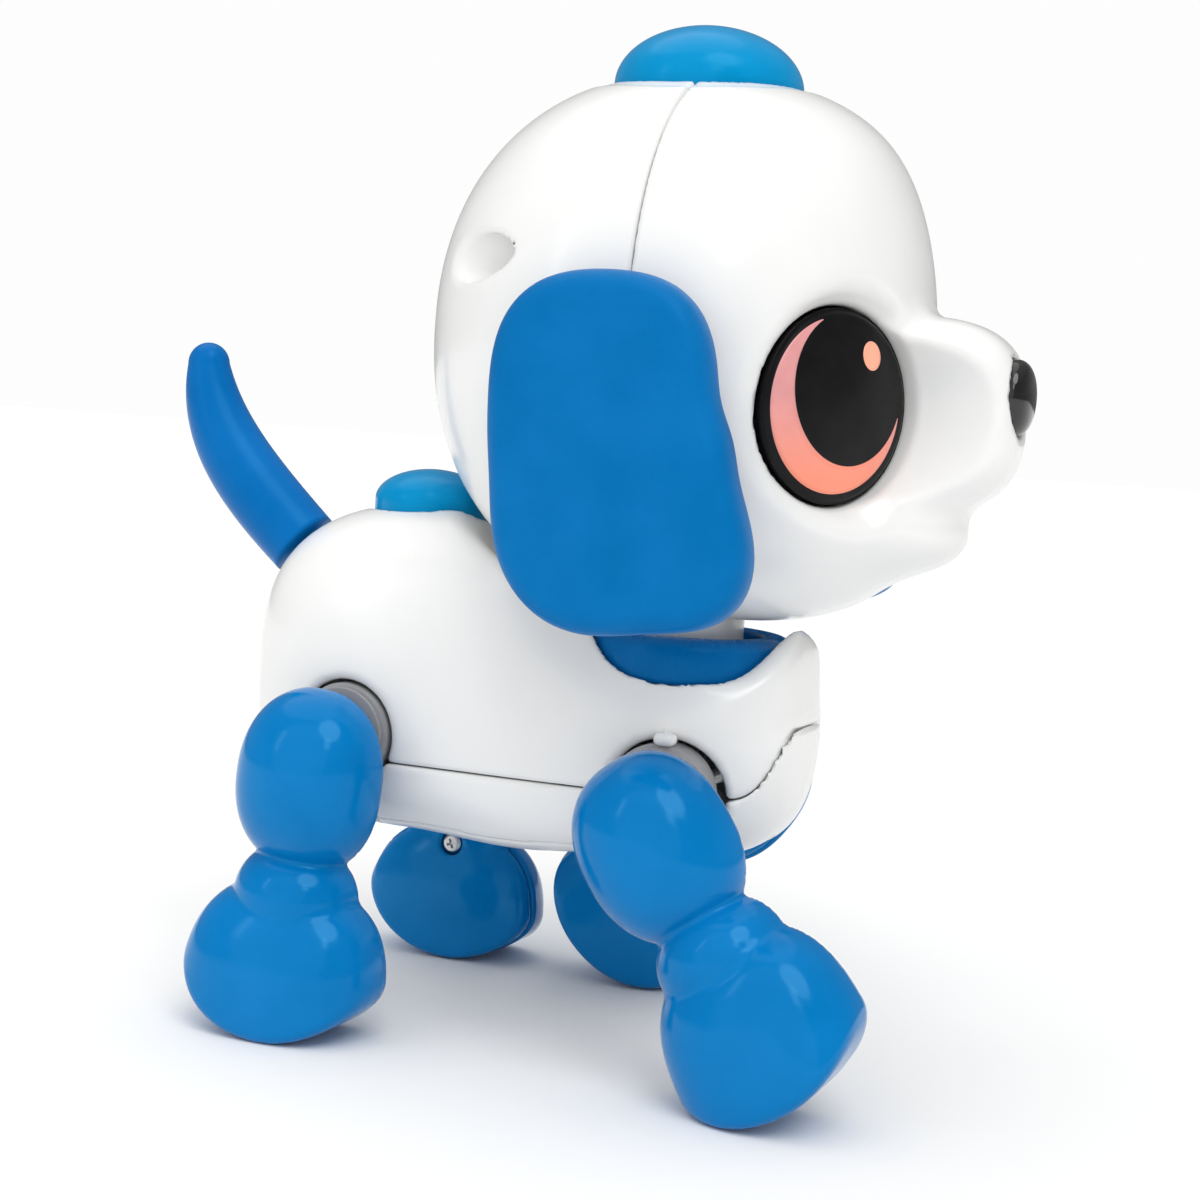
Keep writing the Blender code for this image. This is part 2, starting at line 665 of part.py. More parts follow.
def tail_horn(name, start, grow=0.0, segments=14, stations=8, tip_steps=4):
    """Swept horn with a rounded tip, a little narrower across than it is deep."""
    s = np.linspace(start, TAIL_END, stations)
    centres = tail_centre(s)
    tangents = tail_centre(s + 1e-3) - tail_centre(s - 1e-3)
    tangents /= np.linalg.norm(tangents, axis=1)[:, None]
    radii = 5.6 + 1.6 * s * (1 - s) - 2.6 * s ** 3 + grow
    end, end_tangent, end_r = centres[-1], tangents[-1], radii[-1]
    sections = list(zip(centres, tangents, radii))
    for k in range(1, tip_steps):
        a = math.pi / 2 * k / tip_steps
        sections.append((end + end_tangent * (end_r * math.sin(a)), end_tangent,
                         end_r * math.cos(a)))
    across = np.array([0.0, 1.0, 0.0])
    rings = []
    for centre, tangent, radius in sections:
        upward = np.cross(tangent, across)
        ring = []
        for j in range(segments):
            a = 2 * math.pi * j / segments
            ring.append(centre + across * radius * 0.92 * math.cos(a)
                        + upward * radius * math.sin(a))
        rings.append(ring)
    return ringed_solid(name, rings, centres[0], end + end_tangent * end_r)


def build_tail():
    dress(tail_horn("tail", TAIL_START), LEG_BLUE, roughness=0.3)


def build_neck_and_collar():
    # the stem is trapped by a flange at each end
    neck = lathe("neck_stem", [(7.4, 52.0), (10.4, 52.0), (10.4, 53.2), (NECK_R, 53.2),
                               (NECK_R, 71.2), (11.4, 71.2), (11.4, 72.6), (7.4, 72.6)],
                 18, "z", (NECK_X, 0, 0))
    dress(neck, WHITE, roughness=0.2)
    # thick ring sunk in the cup
    collar = lathe("collar", [(11.3, 56.7), (15.9, 56.7), (16.1, 57.4), (16.1, 60.6),
                              (15.7, 62.2), (14.6, 63.1), (13.0, 63.4), (11.3, 63.2)],
                   28, "z", (COLLAR_X, 0, 0))
    dress(collar, BLUE, roughness=0.3)


# ------------------------------------------------------ battery and boards
DOOR_FRONT, DOOR_REAR, DOOR_HALF_W = 11.0, -27.5, 15.5
DOOR_TOP = 36.5
DOOR_SCREW_AT = (-22.0, 0, 0)
AAA_R, AAA_L = 5.25, 44.5
CELL_PITCH = 10.65


def build_battery_door(bottom):
    """Door and its opening are cut from the same shell, a gap apart."""
    door = duplicate(bottom)
    door.name = "battery_door"
    cut(door, block("door", (DOOR_REAR, -DOOR_HALF_W, 20), (DOOR_FRONT, DOOR_HALF_W, DOOR_TOP)),
        "INTERSECT")
    cut(bottom, block("doorway", (DOOR_REAR - GAP, -DOOR_HALF_W - GAP, 20),
                      (DOOR_FRONT + GAP, DOOR_HALF_W + GAP, DOOR_TOP + GAP)))
    cut(door, cylinder("head_hole", 2.5, 20, 30.6, 14, "z", DOOR_SCREW_AT))
    cut(door, cylinder("shank_hole", 1.4, 20, 40, 12, "z", DOOR_SCREW_AT))
    dress(door, WHITE, roughness=0.18)
    screw("battery_door_screw", (1.8, 2.2, 1.1), (29.0, 29.5, 30.5, 31.9, 31.9),
          at=DOOR_SCREW_AT)


def build_power_switch(bottom):
    """Slider with a wide flange inside; the bottom shell gets its slot."""
    cut(bottom, block("slot", (-39.6, -2.2, 20), (-32.4, 2.2, 36)))
    switch = block("power_switch", (-39.2, -1.8, 29.6), (-36.0, 1.8, 36.2))
    cut(switch, block("flange", (-41.0, -4.0, 34.2), (-34.2, 4.0, 36.2)), "UNION")
    dress(switch, DARK, roughness=0.5)
    set_origin(switch, (-37.6, 0, 32.0))


def build_batteries():
    can_end = AAA_L - 1.1
    for i, y in enumerate((-CELL_PITCH, 0.0, CELL_PITCH), 1):
        cell = lathe("battery_cell_%d" % i,
                     [(0, 0), (AAA_R - 0.6, 0), (AAA_R, 0.5), (AAA_R, AAA_L - 1.6),
                      (AAA_R - 0.6, can_end), (1.9, can_end), (1.9, AAA_L), (0, AAA_L)],
                     14, "x", (-31.2, y, 38.05))
        dress(cell, CELL_GREY, roughness=0.35, metallic=0.6)
    dress_steel(block("front_contact_plate", (13.8, -14.0, 35.8), (14.4, 14.0, 41.0)), 0.3)
    dress_steel(block("rear_contact_plate", (-32.0, -14.0, 36.5), (-31.4, 14.0, 41.0)), 0.3)


def build_back_button():
    button("back_button", BACK_X, BACK_Z, BACK_R, rise=5.0, dome_steps=4, segments=16,
           inside=[(0, -7.0), (1.8, -7.0), (1.8, 1.6), (5.6, 0.6), (7.2, -1.5), (7.2, -6.4),
                   (10.1, -6.4), (10.1, -5.4), (BACK_R, -5.4)])
    switch = block("back_button_switch", (BACK_X - 3, -3, BACK_Z - 11.8),
                   (BACK_X + 3, 3, BACK_Z - 8.5))
    dress(switch, DARK, roughness=0.5)
    board = block("control_board", (-38.0, -11.6, BACK_Z - 13.4), (-13.0, 11.6, BACK_Z - 12.0))
    dress(board, GREEN, roughness=0.5)


# ------------------------------------------------------------------- drive
SHAFT_Z = 57.5                    # motor and drive shaft lie at the same height
MOTOR_X, DRIVE_X = -17.5, -30.1
MOTOR_R, MOTOR_FLAT = 10, 7.6     # the round can has flats this far above and below its axis
DRIVE_BORE = 1.6


def gear(name, teeth, root_r, tip_r, bore_r, y_span, x, phase):
    """Spur gear about a y axis; phase is in teeth."""
    outer, inner = [], []
    for i in range(teeth):
        for part, radius in ((-0.22, root_r), (-0.11, tip_r), (0.11, tip_r), (0.22, root_r)):
            a = 2 * math.pi * (i + part + phase) / teeth
            outer.append((x + radius * math.cos(a), SHAFT_Z + radius * math.sin(a)))
            inner.append((x + bore_r * math.cos(a), SHAFT_Z + bore_r * math.sin(a)))
    y0, y1 = y_span
    verts = [(px, y, pz) for loop, y in ((outer, y0), (outer, y1), (inner, y1), (inner, y0))
             for px, pz in loop]
    ob = new_object(name, verts, ring_faces(4, len(outer), closed=True))
    return dress(ob, GEAR_CREAM, roughness=0.4)


def build_motor():
    motor = lathe("gear_motor", [(0, -15.5), (3, -15.5), (3, -14.0), (MOTOR_R, -14.0),
                                 (MOTOR_R, 10.0), (3.0, 10.0), (3.0, 11.2), (1.0, 11.2),
                                 (1.0, 17.0), (0, 17.0)], 16, "y", (MOTOR_X, -1.0, SHAFT_Z))
    for low, high in ((-20, -MOTOR_FLAT), (MOTOR_FLAT, 20)):
        cut(motor, block("flat", (MOTOR_X - 20, -20, SHAFT_Z + low),
                         (MOTOR_X + 20, 20, SHAFT_Z + high)))
    dress_steel(motor, 0.3)
    pinion = gear("motor_pinion", 8, 2.8, 3.85, 1.05, (12.0, 15.6), MOTOR_X, phase=0.0)
    set_origin(pinion, (MOTOR_X, 13.8, SHAFT_Z))


def build_drive_shaft():
    """Gear, shaft and crank discs share an origin in the middle of the shaft."""
    centre = (DRIVE_X, 0, SHAFT_Z)
    pieces = [gear("drive_gear", 20, 8.2, 9.25, DRIVE_BORE, (12.4, 15.2), DRIVE_X, phase=0.5),
              dress_steel(cylinder("drive_shaft", 1.5, -17.4, 17.4, 14, "y", centre), 0.25)]
    for side, word in SIDES:
        disc = tube(word + "_crank_disc", DRIVE_BORE, 4.6, *sorted((17.5 * side, 16.0 * side)),
                    18, "y", centre)
        pieces.append(dress(disc, GREY, roughness=0.4))
    for ob in pieces:
        set_origin(ob, centre)


# -------------------------------------------------------------------- legs
# Each leg is drawn hanging straight down from its hip, then turned to rest.
# Local y = 0 is the seam; +y is the bulging outer half, -y the flat inner half.
LEG_Y = 26.6                      # seam plane of the leg halves
LEG_WALL = 1.7
# lobes: (x, z) of the middle, half sizes (x, outward, inward, z), squareness
THIGH = ((-0.8, -6.6), (11.3, 10.6, 3.4, 13.5), 2.25)
KNEE = ((-0.4, -24.2), (9.7, 9.8, 3.6, 8.2), 2.2)
CHANNEL = (KNEE[0], (5.7, 5.2, 2.3, 15.3), 3.0)      # joins the hollows through the knee
FOOT_C, FOOT_POWER = (-0.6, -37.0), 2.7
FOOT_OUT, FOOT_IN, FOOT_HALF_Z = 12.2, 5.2, 15.4
FOOT_HALF_X = {"front": 14.4, "rear": 15.9}
FOOT_FLARE, FOOT_SKEW = 0.07, 0.04      # widening downward, forward lean upward
SOLE_DROP = {"front": 45.5, "rear": 43.8}            # hip to sole
ROCKER_R = 18.5                   # the sole is a rocker of this radius
LEG_SCREW_AT = (KNEE[0][0], 0, KNEE[0][1])
SWING = 36.0                      # front legs: right one forward, left one back, in degrees
REAR_LEAN = 5.0                   # the rear legs rest this far behind upright
LEG_REST = {("front", -1): -SWING, ("front", 1): SWING,
            ("rear", -1): REAR_LEAN, ("rear", 1): REAR_LEAN}


def lobe(name, centre, half, power, inset, around, along, flare=0.0, skew=0.0):
    """Egg-shaped lobe, deeper on its outer side than on its inner side."""
    half_x, outward, inward, half_z = (max(v - inset, 1.0) for v in half)

    def place(*direction):
        x, y, z = on_unit(np.array(direction), power)
        width = 1.0 - flare * z
        return (centre[0] + x * half_x * width + skew * z * half_z,
                y * (outward if y > 0 else inward) * width,
                centre[1] + z * half_z)

    rings = []
    for i in range(1, along):
        v = math.pi * i / along
        ring = []
        for j in range(around):
            u = 2 * math.pi * j / around + PHASE * 1.7
            ring.append(place(math.sin(v) * math.cos(u), math.sin(v) * math.sin(u), math.cos(v)))
        rings.append(ring)
    return ringed_solid(name, rings, place(0.0, 0.0, 1.0), place(0.0, 0.0, -1.0))


def leg_solid(name, key, inset, around, along, channel=False):
    """Thigh, knee and foot in one, with the rocker sole, all inset by the same amount."""
    foot_half = (FOOT_HALF_X[key], FOOT_OUT, FOOT_IN, FOOT_HALF_Z)
    leg = lobe(name, *THIGH, inset, around, along)
    if channel:
        cut(leg, lobe("channel", *CHANNEL, 0.0, 9, 6), "UNION")
    cut(leg, lobe("knee", *KNEE, inset, around, along), "UNION")
    cut(leg, lobe("foot", FOOT_C, foot_half, FOOT_POWER, inset, around, along,
                  FOOT_FLARE, FOOT_SKEW), "UNION")
    rocker_z = ROCKER_R - SOLE_DROP[key]
    allowed = block("allowed", (-60, -60, rocker_z), (60, 60, 60))
    cut(allowed, cylinder("rocker", ROCKER_R - inset, -50, 50, 36, "y", (0.0, 0, rocker_z)),
        "UNION")
    return cut(leg, allowed, "INTERSECT")


def leg_half(solid, hollow, core, outer):
    """One hollow half of a leg with its share of the screw boss."""
    half = duplicate(solid)
    cut(half, hollow, keep=True)
    boss = cylinder("boss", 2.3 if outer else 2.9, -20, 20, 8, "y", LEG_SCREW_AT)
    cut(boss, core, "INTERSECT", keep=True)
    cut(half, boss, "UNION")
    y_from, y_to = (-60, GAP / 2) if outer else (-GAP / 2, 60)
    cut(half, block("other_half", (-60, y_from, -120), (60, y_to, 60)))
    if outer:
        cut(half, cylinder("pilot", 1.05, -5, 4.8, 8, "y", LEG_SCREW_AT))
    else:
        cut(half, cylinder("bore", 2.0, -20, -2.0, 8, "y", LEG_SCREW_AT))
        cut(half, cylinder("hole", 1.2, -12, 5, 6, "y", LEG_SCREW_AT))
        cut(half, cylinder("axle", AXLE_R + AXLE_GAP, -20, 5, 10, "y"))
    return half


def place_leg_piece(ob, key, side):
    """Mirror a piece to its side, move it to its hip and turn it to rest."""
    x, z = HIPS[key]
    turned(ob, side)
    ob.location = (x * MM, side * LEG_Y * MM, z * MM)
    ob.rotation_euler = (0, math.radians(LEG_REST[key, side]), 0)


def build_leg(key, side, label, halves):
    for word, half in halves.items():
        ob = bpy.data.objects.new("%s_%s" % (label, word), half.data.copy())
        bpy.context.scene.collection.objects.link(ob)
        place_leg_piece(ob, key, side)
        cut(ob, block("floor", (-200, -100, -30), (200, 100, FLOOR_Z)))
        dress(ob, LEG_BLUE, roughness=0.2)
    fastener = screw(label + "_screw", (1.3, 1.75, 0.85), (-3.4, -3.0, -2.1, 3.6, 4.2), 10, "y",
                     LEG_SCREW_AT)
    place_leg_piece(fastener, key, side)
    hub = tube(label + "_hub", AXLE_R + AXLE_GAP, HUB_R, 16.5 - LEG_Y, 22.9 - LEG_Y, 16, "y")
    place_leg_piece(hub, key, side)
    dress(hub, GREY, roughness=0.3)


def build_leg_pair(key):
    """Both legs of a hip, from one pair of master halves, and their axle."""
    solid = leg_solid("solid", key, 0.0, 12, 7)
    hollow = leg_solid("hollow", key, LEG_WALL, 8, 5, channel=True)
    core = leg_solid("core", key, 0.7, 10, 6)
    halves = {"outer": leg_half(solid, hollow, core, outer=True),
              "inner": leg_half(solid, hollow, core, outer=False)}
    for side, word in SIDES:
        build_leg(key, side, "%s_%s_leg" % (word, key), halves)
    for ob in (solid, hollow, core, *halves.values()):
        bpy.data.objects.remove(ob, do_unlink=True)
    x, z = HIPS[key]
    dress_steel(cylinder(key + "_hip_axle", AXLE_R, -25.4, 25.4, 16, "y", (x, 0, z)), 0.25)


# ---------------------------------------------------------------- assembly
for old in list(bpy.data.objects):
    bpy.data.objects.remove(old, do_unlink=True)
for old in list(bpy.data.meshes):
    bpy.data.meshes.remove(old)

build_head_shells()
for side, word in SIDES:
    build_eye(side, word)
    build_ear(side, word)
build_nose()
build_head_button()
build_head_electronics()

bottom_shell = build_torso_shells()
build_battery_door(bottom_shell)
build_power_switch(bottom_shell)
dress(bottom_shell, WHITE, roughness=0.18)
build_tail()
build_neck_and_collar()
build_batteries()
build_back_button()

build_motor()
build_drive_shaft()
for key in HIPS:
    build_leg_pair(key)

# centre the dog on its length and stand it on z = 0
for ob in bpy.data.objects:
    ob.location.x += X_SHIFT * MM
    ob.location.z -= FLOOR_Z * MM
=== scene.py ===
import json
import math

import bpy
import bmesh
import numpy as np
from mathutils import Matrix, Vector

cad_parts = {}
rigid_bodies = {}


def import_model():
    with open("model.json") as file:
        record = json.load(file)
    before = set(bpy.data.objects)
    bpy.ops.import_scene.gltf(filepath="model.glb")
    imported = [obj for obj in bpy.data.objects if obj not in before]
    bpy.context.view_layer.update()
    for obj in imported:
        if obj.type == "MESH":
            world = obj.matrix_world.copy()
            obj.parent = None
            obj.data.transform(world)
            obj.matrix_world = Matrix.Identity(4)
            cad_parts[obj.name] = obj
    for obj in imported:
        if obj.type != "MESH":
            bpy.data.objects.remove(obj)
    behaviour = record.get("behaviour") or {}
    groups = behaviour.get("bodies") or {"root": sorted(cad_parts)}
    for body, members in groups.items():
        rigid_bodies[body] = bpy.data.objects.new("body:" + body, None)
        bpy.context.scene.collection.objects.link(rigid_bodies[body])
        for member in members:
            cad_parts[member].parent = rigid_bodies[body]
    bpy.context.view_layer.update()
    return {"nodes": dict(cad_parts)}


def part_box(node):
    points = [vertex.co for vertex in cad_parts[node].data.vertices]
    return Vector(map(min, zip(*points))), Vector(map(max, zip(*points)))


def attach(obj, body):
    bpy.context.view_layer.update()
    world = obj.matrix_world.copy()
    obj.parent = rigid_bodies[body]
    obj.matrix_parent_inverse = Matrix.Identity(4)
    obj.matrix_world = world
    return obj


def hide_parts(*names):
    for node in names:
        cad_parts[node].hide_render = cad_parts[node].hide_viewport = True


for old_object in list(bpy.data.objects):
    bpy.data.objects.remove(old_object, do_unlink=True)

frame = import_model()

MM = 0.001
ROOT = "torso_and_head"
SIDE_NAMES = {-1: "right", 1: "left"}

# ------------------------------------------------------------------ driving dimensions
# Buttons: x, z of the dome's foot, radius, dome height
CROWN_X, CROWN_Z, CROWN_R, CROWN_RISE = CROWN = (12.3, 142.6, 13.9, 9.0)
RUMP_X, RUMP_Z, RUMP_R, RUMP_RISE = RUMP = (-28.6, 79.2, 9.0, 5.0)
BUTTON_GAP = 0.35
SEAM_GAP = 0.10            # each shell stops this far short of its seam
SEAM_X = 15.5              # plane between the face and the back of the head
NECK_X, NECK_R, NECK_GAP = 13.6, 9.5, 0.4

EYE_CENTRE, EYE_YAW, EYE_R, EYE_GAP = (40.9, 17.6, 97.4), 29.0, 13.4, 0.3
NOSE_Z = 100.3
EAR_PEG = (21.5, 103.0)    # x, z

COLLAR_X, SEAT_R, SEAT_Z = 14.8, 16.6, 56.2

HIPS = {"front": (19.5, 41.60), "rear": (-30.5, 44.96)}    # x, z
LEG_Y, HUB_R, HUB_GAP, AXLE_R = 26.6, 7.4, 0.35, 1.5

# Screws and the posts they hold together
HEAD_SCREWS = ((28.4, 114.9, -1.0), (-28.4, 114.9, -1.0), (0.0, 81.5, 0.0))    # y, z, seat x
TORSO_SCREWS = ((-44.5, 9.5), (-44.5, -9.5), (27.2, 0.0))                      # x, y
TORSO_SCREW_SEAT = 36.0
DOOR_SCREW_X = -22.0
POST_R, PILOT_R, HOLE_R = 3.2, 1.3, 1.5

low, high = np.array(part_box("head_button")) / MM
SHIFT = np.array([
    float((low[0] + high[0]) / 2) - CROWN_X, 0.0, float(high[2]) - (CROWN_Z + CROWN_RISE)])


# ------------------------------------------------------------------ signed distance fields
# Fields are negative inside; "soft" is the width over which two surfaces blend.
def union(a, b, soft):
    h = np.clip(0.5 + 0.5 * (b - a) / soft, 0.0, 1.0)
    return b * (1 - h) + a * h - soft * h * (1 - h)


def meet(a, b, soft):
    return -union(-a, -b, soft)


def cut(field, tool, soft):
    return meet(field, -tool, soft)


def hollow(outer, wall):
    return cut(outer, outer + wall, 0.3)


def axes(pts):
    return np.moveaxis(pts, -1, 0)


def ellipsoid(pts, centre, radii, power=2.0):
    q = np.abs((pts - np.array(centre, float)) / np.array(radii, float)) ** power
    return (q.sum(-1) ** (1.0 / power) - 1.0) * min(radii)


def rounded_box(pts, low, high, radius):
    centre = (np.array(low, float) + np.array(high, float)) / 2
    half = (np.array(high, float) - np.array(low, float)) / 2 - radius
    q = np.abs(pts - centre) - half
    return np.linalg.norm(np.maximum(q, 0), axis=-1) + np.minimum(q.max(-1), 0) - radius


def cylinder(pts, radius, start, end, axis, centre, soft=0.3):
    i = "xyz".index(axis)
    j, k = [other for other in range(3) if other != i]
    across = np.hypot(pts[..., j] - centre[j], pts[..., k] - centre[k]) - radius
    along = np.maximum(start - pts[..., i], pts[..., i] - end)
    return meet(across, along, soft)


def side_cylinder(pts, radius, near, far, side, x, z):
    """Cylinder along y on one side of the body."""
    start, end = sorted((near * side, far * side))
    return cylinder(pts, radius, start, end, "y", (x, 0, z))


def drill(field, pts, radius, start, end, axis, centre, soft=0.1, edge=0.15):
    return cut(field, cylinder(pts, radius, start, end, axis, centre, soft), edge)


def add_post(field, outer, pts, radius, start, end, axis, centre, inset=0.8):
    """Screw post kept below the outer skin."""
    post = cylinder(pts, radius, start, end, axis, centre)
    return np.minimum(field, meet(post, outer + inset, 0.3))


# ------------------------------------------------------------------ head fields
# Centre, radii, power
CRANIUM = ((11.3, 0, 105.4), (36.4, 35.2, 39.0), 2.2)
JAW = ((28.8, 0, 86.8), (21.5, 24.0, 20.0), 2.1)
LIP = ((46.0, 0, 80.5), (9.5, 11.0, 6.0), 2.0)
MUZZLE = ((45.5, 0.0, 97.3), (16.8, 10.8, 13.9), 2.9)
BRIDGE = ((42.0, 0, 95.0), (14.4, 15.6, 13.0), 2.3)
MUZZLE_HOLLOW = ((49.0, 0, MUZZLE[0][2]), (10.6, 4.1, 8.6), 2.4)
MUZZLE_BACK_X = 45.3
HEAD_WALL = 2.0


def eye_frame(side):
    """Centre of an eye, its outward normal, and the level direction towards the nose."""
    yaw = math.radians(EYE_YAW)
    normal = np.array([math.cos(yaw), side * math.sin(yaw), 0.0])
    centre = np.array([EYE_CENTRE[0], side * EYE_CENTRE[1], EYE_CENTRE[2]])
    inward = np.array([math.sin(yaw), -side * math.cos(yaw), 0.0])
    return centre, normal, inward


def eye_polar(pts, side):
    """Height above the eye plane and distance from the eye axis."""
    centre, normal, _ = eye_frame(side)
    q = pts - centre
    height = q @ normal
    return height, np.sqrt(np.maximum((q * q).sum(-1) - height * height, 0.0))


def eye_well(pts, side, radius, flare, soft):
    height, radial = eye_polar(pts, side)
    # opens outwards, so the side of the muzzle slopes away from the eye
    slope = 0.42 * np.clip(height - 1.0, 0, 14)
    wall = radius + flare * np.clip((height + 1.0) / 3.2, 0, 1) + slope
    return cut(radial - wall, height + 1.2, soft)


def head_solid(pts):
    x, y, z = axes(pts)
    field = union(ellipsoid(pts, *CRANIUM), ellipsoid(pts, *JAW), 7.0)
    for side in (-1, 1):
        field = cut(field, eye_well(pts, side, radius=14.3, flare=1.8, soft=1.5), 3.0)
    # forehead swelling
    field = field - 2.1 * np.exp(-((x - 38.0) ** 2 + (z - 135.0) ** 2) / 220.0 - y ** 2 / 500.0)
    field = union(field, ellipsoid(pts, *LIP), 4.0)
    field = union(field, ellipsoid(pts, *MUZZLE), 3.0)
    # smooth bridge from the forehead down beside the muzzle
    field = union(field, ellipsoid(pts, *BRIDGE), 4.0)
    # mouth: a dimple on each cheek run into the lip by a narrowing groove
    for side in (-1, 1):
        dimple = np.array([54.3, side * 9.6, 82.6])
        run = np.array([58.3, side * 5.0, 84.9]) - dimple
        t = np.clip(((pts - dimple) @ run) / float(run @ run), 0, 1)
        gap = np.linalg.norm(pts - (dimple + t[..., None] * run), axis=-1)
        field = cut(field, gap - (1.5 - 0.6 * t), 1.1)
    # tight seats for the eye discs
    for side in (-1, 1):
        field = cut(field, eye_well(pts, side, EYE_R + EYE_GAP, flare=0.25, soft=0.6), 0.9)
    return field


def head_shell(pts):
    """Outer skin and hollow shell of the whole head."""
    x, y, z = axes(pts)
    outer = head_solid(pts)
    # faint step round the crown button
    from_button = np.hypot(x - CROWN_X, y)
    outer = np.where(z > 128, outer + 0.25 * np.clip((17.6 - from_button) / 0.6, 0, 1), outer)
    return outer, hollow(outer, HEAD_WALL)


def cut_head_bores(pts, field):
    """Openings for the neck tube and the crown button."""
    for radius, start, end, x in ((NECK_R + NECK_GAP, 50, 76, NECK_X),
                                  (CROWN_R + BUTTON_GAP, 130.5, 160, CROWN_X)):
        field = drill(field, pts, radius, start, end, "z", (x, 0, 0), soft=0.3, edge=0.5)
    return field


def face_field(pts):
    x = pts[..., 0]
    outer, field = head_shell(pts)
    # the muzzle is thick walled round a small hollow
    block = meet(ellipsoid(pts, *MUZZLE), MUZZLE_BACK_X - x, 0.3)
    block = cut(block, ellipsoid(pts, *MUZZLE_HOLLOW), 0.3)
    field = np.minimum(field, meet(block, outer, 0.3))
    for screw_y, screw_z, _ in HEAD_SCREWS:
        centre = (0, screw_y, screw_z)
        tip = 60.0 if screw_y == 0 else 40.0
        field = add_post(field, outer, pts, POST_R, SEAM_X + 0.2, tip, "x", centre)
        field = drill(field, pts, PILOT_R, 10, SEAM_X + 8, "x", centre)
    field = cut_head_bores(pts, field)
    for side in (-1, 1):
        height, radial = eye_polar(pts, side)
        field = cut(field, cut(radial - (EYE_R + EYE_GAP), height + 9.0, 0.2), 0.6)
        field = cut(field, side_cylinder(pts, 2.9, 20, 60, side, *EAR_PEG), 0.4)
    # oval nose seat
    q = pts / np.array([1.0, 5.25, 5.6])
    nose = (np.hypot(q[..., 1], q[..., 2] - NOSE_Z / 5.6) - 1.0) * 5.4
    field = cut(field, meet(nose, 57.2 - x, 0.3), 0.7)
    return meet(field, SEAM_X + SEAM_GAP - x, 0.6)


def back_of_head_field(pts):
    outer, field = head_shell(pts)
    for y, z, seat_x in HEAD_SCREWS:
        centre = (0, y, z)
        field = add_post(field, outer, pts, 4.6, -30.0, SEAM_X - 0.2, "x", centre)
        field = drill(field, pts, 3.4, -40.0, seat_x, "x", centre, soft=0.5, edge=1.0)
        field = drill(field, pts, HOLE_R, -5.0, 30.0, "x", centre)
    field = cut_head_bores(pts, field)
    return meet(field, pts[..., 0] - (SEAM_X - SEAM_GAP), 0.6)


# ------------------------------------------------------------------ torso fields
CHEST = ((20.5, 0.0, 54.0), (13.5, 15.0, 18.0), 3.0)            # centre, radii, power
CHEST_FRONT_Z, CHEST_SIDE_Z = 65.2, 56.4
HEAD_CLEARANCE = ((10.0, 0, 105.0), (38.3, 36.7, 41.2), 2.1)
# Centre, radii, plan power, upper and lower profile powers
HAUNCH = ((-23.5, 0, 54.2), (29.6, 22.0, 24.8), 2.7, 2.6, 3.6)
FOREBODY = ((8.5, 0, 47.6), (25.0, 20.6, 17.5), 2.4, 2.0, 3.6)
TOP_WALL, BOTTOM_WALL = 1.9, 1.8
DOOR_BACK, DOOR_FRONT, DOOR_HALF, DOOR_GAP = -27.5, 11.0, 15.5, 0.25
TAIL_PATH = ((-46.0, 0, 66.5), (-60.5, 0, 78.5), (-70.3, 0, 86.5), (-70.6, 0, 100.2))
TAIL_SQUASH = 0.92         # tail half width over half height


def loaf(pts, centre, radii, plan, upper, lower):
    qx, qy, qz = axes(np.abs((pts - np.array(centre, float)) / np.array(radii, float)))
    rho = (qx ** plan + qy ** plan) ** (1.0 / plan)
    power = np.where(pts[..., 2] > centre[2], upper, lower)
    return ((rho ** power + qz ** power) ** (1.0 / power) - 1.0) * min(radii)


def chest_field(pts):
    # the cup's rim is highest in front and falls away to the sides
    x, y, z = axes(pts)
    dx = x - COLLAR_X
    ahead = np.clip((dx / np.maximum(np.hypot(dx, y), 1.0) - 0.5) / 0.5, 0, 1)
    rim = CHEST_SIDE_Z + (CHEST_FRONT_Z - CHEST_SIDE_Z) * ahead ** 2.2
    return meet(ellipsoid(pts, *CHEST), z - rim, 2.6)


def torso_solid(pts):
    x, y, z = axes(pts)
    chest = chest_field(pts)
    field = union(union(loaf(pts, *HAUNCH), loaf(pts, *FOREBODY), 8.0), chest, 4.0)
    field = cut(field, ellipsoid(pts, *HEAD_CLEARANCE), 2.5)
    # the front of the collar cup stands up as a rim
    field = union(field, meet(chest, 55.0 - z, 0.5), 0.5)
    seat = meet(np.hypot(x - COLLAR_X, y) - SEAT_R, SEAT_Z - z, 0.6)
    return cut(field, seat, 0.95)


def seam_z(x):
    """Height of the seam between the body shells, rising at the front."""
    u = np.clip((x - 27.0) / 6.7, 0, 1.05)
    return 41.2 + 8.5 * u ** 3


def cut_hip_holes(pts, field):
    for x, z in HIPS.values():
        for side in (-1, 1):
            field = cut(field, side_cylinder(pts, HUB_R + HUB_GAP, 12, 30, side, x, z), 1.6)
    return field


def tail_centre(s):
    p0, p1, p2, p3 = (np.array(p, float) for p in TAIL_PATH)
    s = np.asarray(s, float)[..., None]
    return (1 - s) ** 3 * p0 + 3 * s * (1 - s) ** 2 * p1 + 3 * s * s * (1 - s) * p2 + s ** 3 * p3


def tail_radius(s):
    s = np.asarray(s, float)
    return 5.6 + 1.6 * s * (1 - s) - 2.6 * s ** 3


def tail_socket(pts, gap=0.25):
    """Lower half of the tail as a string of balls, grown by a gap."""
    nearest = np.full(pts.shape[:-1], 1e3)
    for s in np.linspace(0.05, 0.5, 16):
        q = (pts - tail_centre(s)) / np.array([1.0, TAIL_SQUASH, 1.0])
        nearest = np.minimum(nearest, np.linalg.norm(q, axis=-1) - float(tail_radius(s)) - gap)
    return nearest


